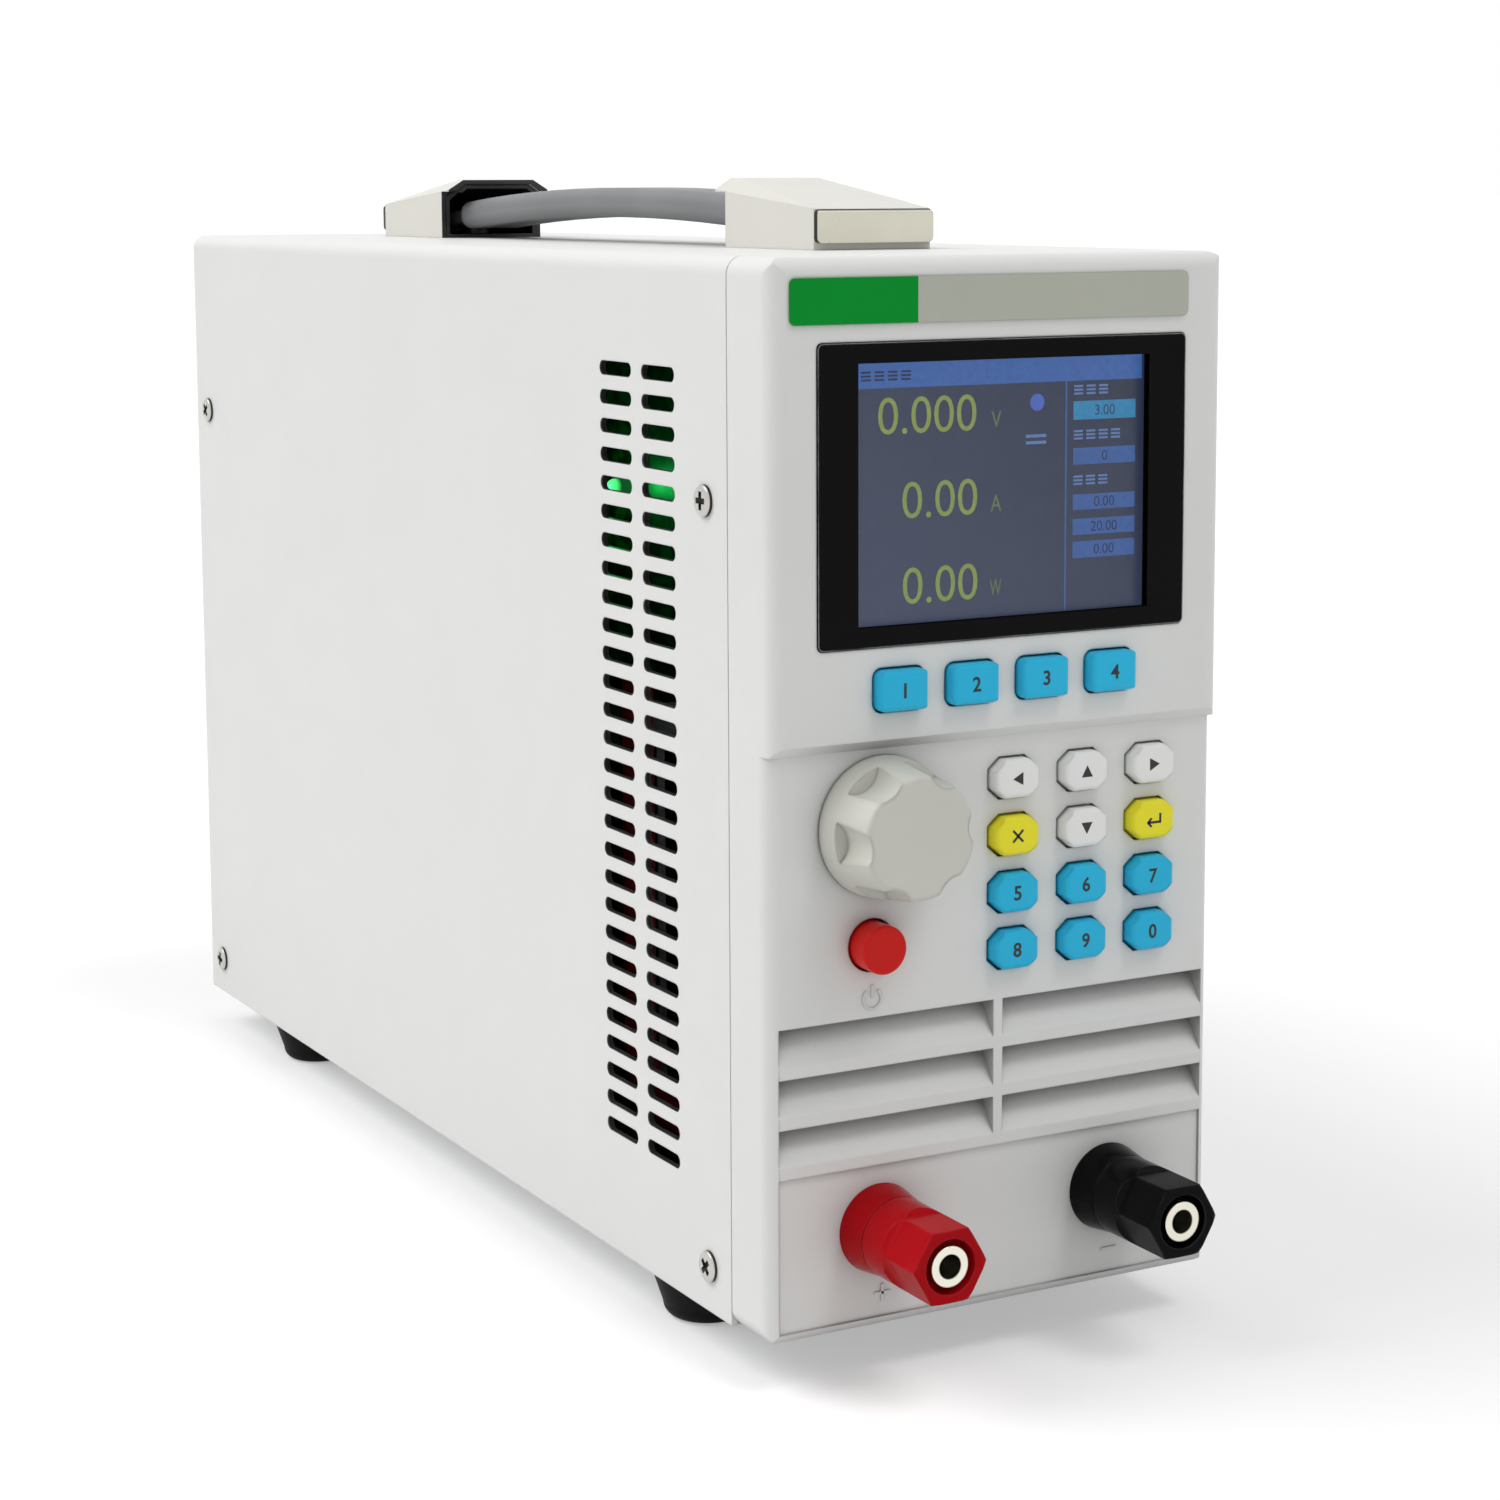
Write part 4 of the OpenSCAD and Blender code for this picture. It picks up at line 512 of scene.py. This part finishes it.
# Scale and detail of the noise in the lens's gloss, and its lowest and highest roughness
LENS_GLOSS = (200.0, 2.0, 0.1, 0.2)


def lamp_look():
    """Green lens that glows at its tip."""
    k = Look("lamp_green")
    tip = corners("status_lamp")[0].x
    reach = k.spread(k.axis("X"), 1.0, 0.0, tip, tip + GLOW_LENGTH)
    lens = k.mix(k.noise(LENS_SCALE), srgb("#12D048"), srgb("#5CFF8A"))
    k.feed("Emission Color", k.mix(reach, srgb("#063013"), lens))
    k.rough(*LENS_GLOSS)
    k.set(Base_Color=srgb("#0C4A20"), Emission_Strength=GLOW_STRENGTH)


window_look()
display_look()
lamp_look()

SCREEN_COLOURS = {
    "screen_title": "#3C63A8",
    "screen_box": "#3A5F9E",
    "screen_cyan": "#2C84B4",
    "screen_digits": "#87984F",
    "screen_dim": "#64794F",
    "screen_word": "#5F7DB4",
    "screen_dot": "#4A66BE",
    "screen_ink": "#1E2A50",
}
for name, code in SCREEN_COLOURS.items():
    lit(name, srgb(code))

# Each CAD node takes the look of its slot, apart from the trims, whose edges carry painted shade
look_of = {p["node"]: p["material_slot"] for p in frame["record"]["subparts"]}
look_of["handle_trims"] = "trim_nickel"
for name, obj in nodes.items():
    obj.data.materials.clear()
    obj.data.materials.append(looks[look_of[name]])


# Marks on the keys and the bezel

# Height of the ink, thickness of the raised signs, and how far their backs are sunk into the face below
INK = 0.03 * MM
RAISE = 0.25 * MM
SINK = 0.005 * MM


def plate_mesh(name, loops, y, depth):
    """Thin solid from closed loops in x and z, standing out by depth from y towards the front."""
    bm = bmesh.new()
    for loop in loops:
        verts = [bm.verts.new((x, y, z)) for x, z in loop]
        face = bm.faces.new(verts)
        out = bmesh.ops.extrude_face_region(bm, geom=[face])
        moved = [g for g in out["geom"] if isinstance(g, bmesh.types.BMVert)]
        bmesh.ops.translate(bm, verts=moved, vec=(0.0, -depth, 0.0))
    bmesh.ops.recalc_face_normals(bm, faces=bm.faces)
    return finished(name, bm)


def text_mesh(name, words, height, x, z, y, depth, bold, squeeze=1.0):
    """Characters as a thin solid in x and z, height tall, with their middle at x and z."""
    curve = bpy.data.curves.new(name, "FONT")
    curve.body = words
    curve.size = 1.0
    curve.offset = bold
    curve.extrude = 0.5
    curve.resolution_u = 4
    obj = place(name, curve)
    mesh = evaluated(obj)
    bpy.data.objects.remove(obj)
    bpy.data.curves.remove(curve)
    xs = [v.co.x for v in mesh.vertices]
    ys = [v.co.y for v in mesh.vertices]
    k = height / (max(ys) - min(ys))
    x_mid = (min(xs) + max(xs)) / 2
    y_mid = (min(ys) + max(ys)) / 2
    for v in mesh.vertices:
        px, py, pz = v.co
        v.co = (x + (px - x_mid) * k * squeeze, y - (0.5 + pz) * depth, z + (py - y_mid) * k)
    mesh.name = name
    return mesh


def round_point(x, z, r, angle):
    """Point on a circle."""
    return x + r * math.cos(angle), z + r * math.sin(angle)


def disc(x, z, r, count=28):
    """Closed loop of a circle."""
    return [round_point(x, z, r, i * math.tau / count) for i in range(count)]


def rect(x0, x1, z0, z1):
    """Closed loop of a rectangle between its sides."""
    return [(x0, z0), (x1, z0), (x1, z1), (x0, z1)]


def rect_at(x, z, half_x, half_z):
    """Closed loop of a rectangle about its middle."""
    return rect(x - half_x, x + half_x, z - half_z, z + half_z)


def bar(x0, z0, x1, z1, w):
    """Closed loop of a stroke between two points."""
    dx = x1 - x0
    dz = z1 - z0
    k = w / 2 / math.hypot(dx, dz)
    nx = -dz * k
    nz = dx * k
    return [(x0 + nx, z0 + nz), (x0 - nx, z0 - nz), (x1 - nx, z1 - nz), (x1 + nx, z1 + nz)]


def arc_strip(x, z, r, w, start, end, steps):
    """Loops of the short pieces of a round stroke, from one angle to another in degrees."""
    angles = [math.radians(start + (end - start) * i / steps) for i in range(steps + 1)]
    inner = [round_point(x, z, r - w / 2, a) for a in angles]
    outer = [round_point(x, z, r + w / 2, a) for a in angles]
    return [[inner[i], outer[i], outer[i + 1], inner[i + 1]] for i in range(steps)]


def turned(points, degrees):
    """Points turned about the origin."""
    cos = math.cos(math.radians(degrees))
    sin = math.sin(math.radians(degrees))
    return [(x * cos - z * sin, x * sin + z * cos) for x, z in points]


def mark_key(node, loops):
    """Ink on the front of a key, from loops in millimetres about its middle."""
    name = node + "_mark"
    c = centre(node)
    loops = [[(c.x + x * MM, c.z + z * MM) for x, z in loop] for loop in loops]
    add_object(name, plate_mesh(name, loops, front(node) + SINK, INK + SINK), node, looks["ink"])


# Arrows on the white keys: the outline of one that points right, and how far each key's is turned
ARROW = ((-0.95, -1.1), (1.05, 0.0), (-0.95, 1.1))
ARROW_TURNS = {"key_left": 180, "key_up": 90, "key_right": 0, "key_down": 270}
for node, angle in ARROW_TURNS.items():
    mark_key(node, [turned(ARROW, angle)])

# Plain numerals on the blue keys
NUMERAL_H = 2.5 * MM
NUMERAL_BOLD = 0.02
NUMERALS = {"soft_key_%d" % i: str(i) for i in range(1, 5)}
NUMERALS.update({"key_blue_%d" % i: str((i + 4) % 10) for i in range(1, 7)})
for node, words in NUMERALS.items():
    c = centre(node)
    mesh = text_mesh(node + "_mark", words, NUMERAL_H, c.x, c.z, front(node) + SINK, INK + SINK,
                     NUMERAL_BOLD)
    add_object(node + "_mark", mesh, node, looks["ink"])

# A cross and a return arrow on the yellow keys, as strokes in millimetres
STROKE_W = 0.42
CROSS = ((-1.0, -1.0, 1.0, 1.0), (-1.0, 1.0, 1.0, -1.0))
RETURN = ((1.3, 1.1, 1.3, -0.4), (1.5, -0.4, -1.2, -0.4),
          (-1.3, -0.5, -0.5, 0.35), (-1.3, -0.3, -0.5, -1.15))
for node, lines in (("key_yellow_left", CROSS), ("key_yellow_right", RETURN)):
    mark_key(node, [bar(*line, STROKE_W) for line in lines])

# Raised plus and minus signs on the terminal panel, which lies behind the front of the posts' bases
POST_BASE_LEN = 5.9 * MM
PLUS_X = -22.3 * MM
MINUS_X = 23.3 * MM
SIGN_UP = 6.0 * MM
SIGN_HALF = 1.5 * MM
SIGN_THIN = 0.22 * MM
panel_y = front("post_base_red") + POST_BASE_LEN
sign_z = corners("front_bezel")[0].z + SIGN_UP
signs = [rect_at(PLUS_X, sign_z, SIGN_HALF, SIGN_THIN),
         rect_at(PLUS_X, sign_z, SIGN_THIN, SIGN_HALF),
         rect_at(MINUS_X, sign_z, SIGN_HALF, SIGN_THIN)]
add_object("polarity_signs", plate_mesh("polarity_signs", signs, panel_y + SINK, RAISE), ROOT,
           looks["raised_mark"])

# Raised power sign under the button, on the face that the keys stand out of
KEY_RISE = 2.2 * MM
POWER_DROP = 9.0 * MM
POWER_R = 1.7 * MM
POWER_W = 0.42 * MM
POWER_ARC = (128, 412)
POWER_STEPS = 24
POWER_BAR_LOW = 0.2 * MM
POWER_BAR_TOP = 2.3 * MM
lower_y = front("key_left") + KEY_RISE
power_x = centre("power_button").x
power_z = centre("power_button").z - POWER_DROP
power = arc_strip(power_x, power_z, POWER_R, POWER_W, *POWER_ARC, POWER_STEPS)
power.append(rect(power_x - POWER_W / 2, power_x + POWER_W / 2,
                  power_z + POWER_BAR_LOW, power_z + POWER_BAR_TOP))
add_object("power_sign", plate_mesh("power_sign", power, lower_y + SINK, RAISE), ROOT,
           looks["raised_mark"])


# What the lit display shows: bars, boxes and plain numbers, in millimetres from the screen's middle

LAYER = 0.02 * MM
SCREEN_SIDE = 28
SCREEN_TOP = 21.15
TITLE_LOW = 17.1
# Left end, low edge and number of blocks of the marks in the title bar
TITLE_MARKS = (-26.6, 18.3, 4)
DIVIDER = (12.7, 13.0)
# Middle and radius of the dot, and the two bars of the mode sign below it
DOT = (7.1, 13.8, 1.4)
MODE_BARS = ((4.9, 8.9, 8.0, 8.5), (4.9, 8.9, 6.9, 7.4))
# Each large number with its middle in x and z, its unit and how far the unit is narrowed
VALUES = (
    ("0.000", -14.1, 12.6, "V", 0.8),
    ("0.00", -11.7, -1.2, "A", 0.8),
    ("0.00", -11.6, -15.2, "W", 0.55),
)
VALUE_H = 6.0
UNIT_H = 2.7
UNIT_X = -0.9
UNIT_DROP = 1.3
SCREEN_BOLD = -0.004
# Low and top edge, colour and number of each box in the right column
BOXES = (
    (10.6, 13.7, "screen_cyan", "3.00"),
    (3.1, 5.9, "screen_box", "0"),
    (-4.5, -1.9, "screen_box", "0.00"),
    (-8.7, -6.0, "screen_box", "20.00"),
    (-12.6, -9.8, "screen_box", "0.00"),
)
BOX_SIDES = (14.3, 26.8)
SETTING_X = 20.6
SETTING_H = 1.7
# Left end, low edge and number of blocks of the headings in that column
HEADINGS = ((14.4, 14.8, 3), (14.4, 7.3, 4), (14.4, -0.3, 3))
# Step and width of the blocks that stand for words, and the step, height and number of their lines
BLOCK_STEP = 2.5
BLOCK_W = 1.8
LINE_STEP = 0.62
LINE_H = 0.34
BLOCK_LINES = 3

panel_front = front("display_module")
screen_mid = centre("display_module").z


def on_screen(name, loops, material, layer=1):
    """Flat shapes on the screen, given in millimetres from its middle."""
    loops = [[(x * MM, screen_mid + z * MM) for x, z in loop] for loop in loops]
    mesh = plate_mesh(name, loops, panel_front + SINK, LAYER * layer + SINK)
    add_object(name, mesh, ROOT, looks[material])


def number(name, words, height, x, z, material, layer=1, squeeze=1.0):
    """Characters on the screen, given in millimetres from its middle."""
    mesh = text_mesh(name, words, height * MM, x * MM, screen_mid + z * MM, panel_front + SINK,
                     LAYER * layer + SINK, SCREEN_BOLD, squeeze)
    add_object(name, mesh, ROOT, looks[material])


def dummy_words(x, low, count):
    """Blocks of short lines in place of words."""
    loops = []
    for i in range(count):
        left = x + i * BLOCK_STEP
        for j in range(BLOCK_LINES):
            foot = low + j * LINE_STEP
            loops.append(rect(left, left + BLOCK_W, foot, foot + LINE_H))
    return loops


on_screen("screen_title", [rect(-SCREEN_SIDE, SCREEN_SIDE, TITLE_LOW, SCREEN_TOP)], "screen_title")
on_screen("screen_title_marks", dummy_words(*TITLE_MARKS), "screen_ink", 2)
on_screen("screen_divider", [rect(*DIVIDER, -SCREEN_TOP, TITLE_LOW)], "screen_box")
on_screen("screen_dot", [disc(*DOT)], "screen_dot")
on_screen("screen_mode", [rect(*sides) for sides in MODE_BARS], "screen_word")
for i, (words, x, z, unit, squeeze) in enumerate(VALUES, 1):
    number("screen_value_%d" % i, words, VALUE_H, x, z, "screen_digits")
    number("screen_unit_%d" % i, unit, UNIT_H, UNIT_X, z - UNIT_DROP, "screen_dim", squeeze=squeeze)
for i, (low, top, material, words) in enumerate(BOXES, 1):
    on_screen("screen_box_%d" % i, [rect(*BOX_SIDES, low, top)], material)
    number("screen_setting_%d" % i, words, SETTING_H, SETTING_X, (top + low) / 2, "screen_ink", 2)
for i, heading in enumerate(HEADINGS, 1):
    on_screen("screen_heading_%d" % i, dummy_words(*heading), "screen_word")


# Screws with cross recesses, in place of the plain ones

RING = 36
# Outline of a pan head as shares of its radius and height; the wall up to the second point is painted dark
# as shade
DOME = ((1.0, 0.0), (1.0, 0.5), (0.96, 0.74), (0.86, 0.9), (0.6, 0.98), (0.2, 1.0))
# Shares of a shank: the radius of its tip, and where the tip starts
TIP_R = 0.8
TIP_START = 0.93
# Shares of a recess: the width of its slots, their length at the foot, and its middle in the head's height
SLOT_W = 0.25
SLOT_FOOT = 0.45
SLOT_UP = 0.85
SHARP_ANGLE = 35


def screw_body(name, head_d, head_h, shank_d, length):
    """Pan head screw along -z, its head resting on z = 0."""
    dome = [(head_d / 2 * r, head_h * z) for r, z in DOME]
    shank = [(shank_d / 2 * TIP_R, -length), (shank_d / 2, -length * TIP_START), (shank_d / 2, 0.0)]
    bm = bmesh.new()
    tip = bm.verts.new((0.0, 0.0, -length))
    below = None
    for r, z in shank + dome:
        ring = [bm.verts.new((x, y, z)) for x, y in disc(0.0, 0.0, r, RING)]
        for i in range(RING):
            after = (i + 1) % RING
            if below:
                face = bm.faces.new((below[i], below[after], ring[after], ring[i]))
                face.material_index = 1 if (r, z) == dome[1] else 0
            else:
                bm.faces.new((tip, ring[after], ring[i]))
        below = ring
    bm.faces.new(below)
    bmesh.ops.recalc_face_normals(bm, faces=bm.faces)
    return finished(name, bm)


def cross_cutter(name, head_h, size):
    """Cross that narrows towards its foot, for the recess in a screw's head."""
    bm = bmesh.new()
    for angle in (0, 90):
        verts = bmesh.ops.create_cube(bm, size=1.0)["verts"]
        bmesh.ops.scale(bm, verts=verts, vec=(size, size * SLOT_W, head_h))
        for v in verts:
            if v.co.z < 0:
                v.co.x *= SLOT_FOOT
        turn = Matrix.Rotation(math.radians(angle), 3, "Z")
        bmesh.ops.rotate(bm, verts=verts, cent=(0, 0, 0), matrix=turn)
        bmesh.ops.translate(bm, verts=verts, vec=(0, 0, head_h * SLOT_UP))
    return finished(name, bm)


def screw_mesh(name, head_d, head_h, shank_d, length, size):
    """Pan head screw with a cross recess, which is painted dark as shade, as the rim of the head is."""
    body = screw_body(name, head_d, head_h, shank_d, length)
    body.materials.append(looks["bright_steel"])
    body.materials.append(looks["recess"])
    cutter = cross_cutter(name + "_cut", head_h, size)
    cutter.materials.append(looks["recess"])
    host = place(name + "_host", body)
    tool = place(name + "_tool", cutter)
    cut = host.modifiers.new("cut", "BOOLEAN")
    cut.object = tool
    cut.operation = "DIFFERENCE"
    cut.solver = "EXACT"
    cut.use_self = True
    cut.material_mode = "TRANSFER"
    done = evaluated(host)
    bpy.data.objects.remove(host)
    bpy.data.objects.remove(tool)
    done.name = name
    return done


def screw_set(name, mesh, spots):
    """Copies of one screw at several matrices, as one piece."""
    bm = bmesh.new()
    for spot in spots:
        copy = mesh.copy()
        copy.transform(spot)
        bm.from_mesh(copy)
        bpy.data.meshes.remove(copy)
    out = finished(name, bm)
    for p in out.polygons:
        p.use_smooth = True
    out.set_sharp_from_angle(angle=math.radians(SHARP_ANGLE))
    screws = add_object(name, out, ROOT, looks["bright_steel"])
    screws.data.materials.append(looks["recess"])
    return screws


def rotation(degrees, axis):
    """Matrix of a turn about an axis."""
    return Matrix.Rotation(math.radians(degrees), 4, axis)


# Cover screws on both sides of the case, their recesses turned by degrees from screw to screw
COVER_SPIN_Y = 37
COVER_SPIN_Z = 45
COVER_HEAD_D = 5.4 * MM
COVER_HEAD_H = 0.95 * MM
COVER_SHANK_D = 3.0 * MM
COVER_LENGTH = 6.0 * MM
COVER_RECESS = 3.9 * MM
low, high = corners("cover_screws")
head = COVER_HEAD_D / 2
side_x = corners("top_cover")[1].x
spots = []
for side in (-1, 1):
    turn = rotation(90 * side, "Y")
    for i, y in enumerate((low.y + head, high.y - head)):
        for j, z in enumerate((low.z + head, high.z - head)):
            spin = rotation(COVER_SPIN_Y * i + COVER_SPIN_Z * (1 - j), "Z")
            spots.append(Matrix.Translation((side_x * side, y, z)) @ turn @ spin)
small = screw_mesh("small_screw", COVER_HEAD_D, COVER_HEAD_H, COVER_SHANK_D, COVER_LENGTH, COVER_RECESS)
screws = screw_set("cover_screw_set", small, spots)
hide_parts("cover_screws")

# Fan screws on the rear, as long as the CAD's, their recesses turned in the same way
FAN_SPIN = 15
FAN_SPIN_X = 41
FAN_SPIN_Z = 29
FAN_HEAD_D = 7.2 * MM
FAN_HEAD_H = 2.4 * MM
FAN_SHANK_D = 4.0 * MM
FAN_RECESS = 4.0 * MM
low, high = corners("fan_screws")
head = FAN_HEAD_D / 2
seat_y = high.y - FAN_HEAD_H
turn = rotation(-90, "X")
spots = []
for i, x in enumerate((low.x + head, high.x - head)):
    for j, z in enumerate((low.z + head, high.z - head)):
        spin = rotation(FAN_SPIN + FAN_SPIN_X * i + FAN_SPIN_Z * j, "Z")
        spots.append(Matrix.Translation((x, seat_y, z)) @ turn @ spin)
large = screw_mesh("large_screw", FAN_HEAD_D, FAN_HEAD_H, FAN_SHANK_D, seat_y - low.y, FAN_RECESS)
screws = screw_set("fan_screw_set", large, spots)
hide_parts("fan_screws")


# Floor, light and camera

FLOOR_HALF = 30.0
FLOOR_COLOUR = (0.72, 0.72, 0.72, 1.0)
FLOOR_GLOW = 0.34
WORLD_LIGHT = 0.51
# Direction towards each sun, its strength and its angle in degrees
SUNS = {
    "key": ((-0.60, 0.30, 0.74), 1.58, 40),
    "front_light": ((0.20, -0.42, 0.88), 0.6, 20),
}
# Light of the status lamp, and how far to the left of the lamp's middle it is
GLOW_COLOUR = (0.02, 1.0, 0.16)
GLOW_ENERGY = 0.0045
GLOW_SIZE = 2 * MM
GLOW_LEFT = 4.5 * MM
# Camera fitted to the photograph, its lens and sensor in millimetres and its turns in degrees
LENS = 76.57
SENSOR = 36.0
SHIFT_X = -0.02426
SHIFT_Y = -0.10123
CAMERA_PLACE = (-0.283664, -0.572193, 0.197906)
CAMERA_TURNS = (82.6026, 0.1942, -28.9007)
CLIP_END = 200.0


def seen_directly(tree):
    """1 for rays from the camera, through glass or off a gloss, 0 for the rays that light the object."""
    path = tree.nodes.new("ShaderNodeLightPath")
    total = path.outputs["Is Camera Ray"]
    for ray in ("Is Transmission Ray", "Is Glossy Ray"):
        step = tree.nodes.new("ShaderNodeMath")
        step.operation = "MAXIMUM"
        tree.links.new(total, step.inputs[0])
        tree.links.new(path.outputs[ray], step.inputs[1])
        total = step.outputs[0]
    return total


def pale_floor():
    """Wide floor that takes soft shadows and is nearly white where it is seen."""
    mesh = bpy.data.meshes.new("floor")
    loop = rect_at(0.0, 0.0, FLOOR_HALF, FLOOR_HALF)
    mesh.from_pydata([(x, y, 0) for x, y in loop], [], [(0, 1, 2, 3)])
    obj = place("floor", mesh)
    material = bpy.data.materials.new("floor")
    material.use_nodes = True
    tree = material.node_tree
    tree.nodes.clear()
    out = tree.nodes.new("ShaderNodeOutputMaterial")
    diffuse = tree.nodes.new("ShaderNodeBsdfDiffuse")
    diffuse.inputs["Color"].default_value = FLOOR_COLOUR
    glow = tree.nodes.new("ShaderNodeEmission")
    both = tree.nodes.new("ShaderNodeAddShader")
    level = tree.nodes.new("ShaderNodeMath")
    level.operation = "MULTIPLY"
    level.inputs[1].default_value = FLOOR_GLOW
    tree.links.new(seen_directly(tree), level.inputs[0])
    tree.links.new(level.outputs[0], glow.inputs["Strength"])
    tree.links.new(diffuse.outputs[0], both.inputs[0])
    tree.links.new(glow.outputs[0], both.inputs[1])
    tree.links.new(both.outputs[0], out.inputs["Surface"])
    mesh.materials.append(material)


def studio_world(light):
    """Even white light, and a white background where it is seen."""
    world = bpy.data.worlds.new("studio")
    bpy.context.scene.world = world
    world.use_nodes = True
    tree = world.node_tree
    back = tree.nodes["Background"]
    back.inputs["Color"].default_value = WHITE
    level = tree.nodes.new("ShaderNodeMapRange")
    level.inputs["To Min"].default_value = light
    level.inputs["To Max"].default_value = 1.0
    tree.links.new(seen_directly(tree), level.inputs["Value"])
    tree.links.new(level.outputs["Result"], back.inputs["Strength"])


def sun(name, direction, strength, angle):
    """Far lamp, soft by its angle, so that the floor is lit evenly."""
    lamp = bpy.data.lights.new(name, "SUN")
    lamp.energy = strength
    lamp.angle = math.radians(angle)
    place(name, lamp).rotation_euler = Vector(direction).to_track_quat("Z", "Y").to_euler()


def status_glow():
    """Small green light at the tip of the status lamp, seen through the vents."""
    lamp = bpy.data.lights.new("status_glow", "POINT")
    lamp.color = GLOW_COLOUR
    lamp.energy = GLOW_ENERGY
    lamp.shadow_soft_size = GLOW_SIZE
    place("status_glow", lamp).location = centre("status_lamp") - Vector((GLOW_LEFT, 0, 0))


def photo_camera():
    """Camera that sees the object as the photograph does."""
    camera = bpy.data.cameras.new("camera")
    camera.sensor_fit = "HORIZONTAL"
    camera.sensor_width = SENSOR
    camera.lens = LENS
    camera.shift_x = SHIFT_X
    camera.shift_y = SHIFT_Y
    camera.clip_end = CLIP_END
    view = place("camera", camera)
    view.location = CAMERA_PLACE
    view.rotation_euler = [math.radians(a) for a in CAMERA_TURNS]
    bpy.context.scene.camera = view


pale_floor()
studio_world(WORLD_LIGHT)
for name, (direction, strength, angle) in SUNS.items():
    sun(name, direction, strength, angle)
status_glow()
photo_camera()
bpy.context.scene.view_settings.view_transform = "Standard"
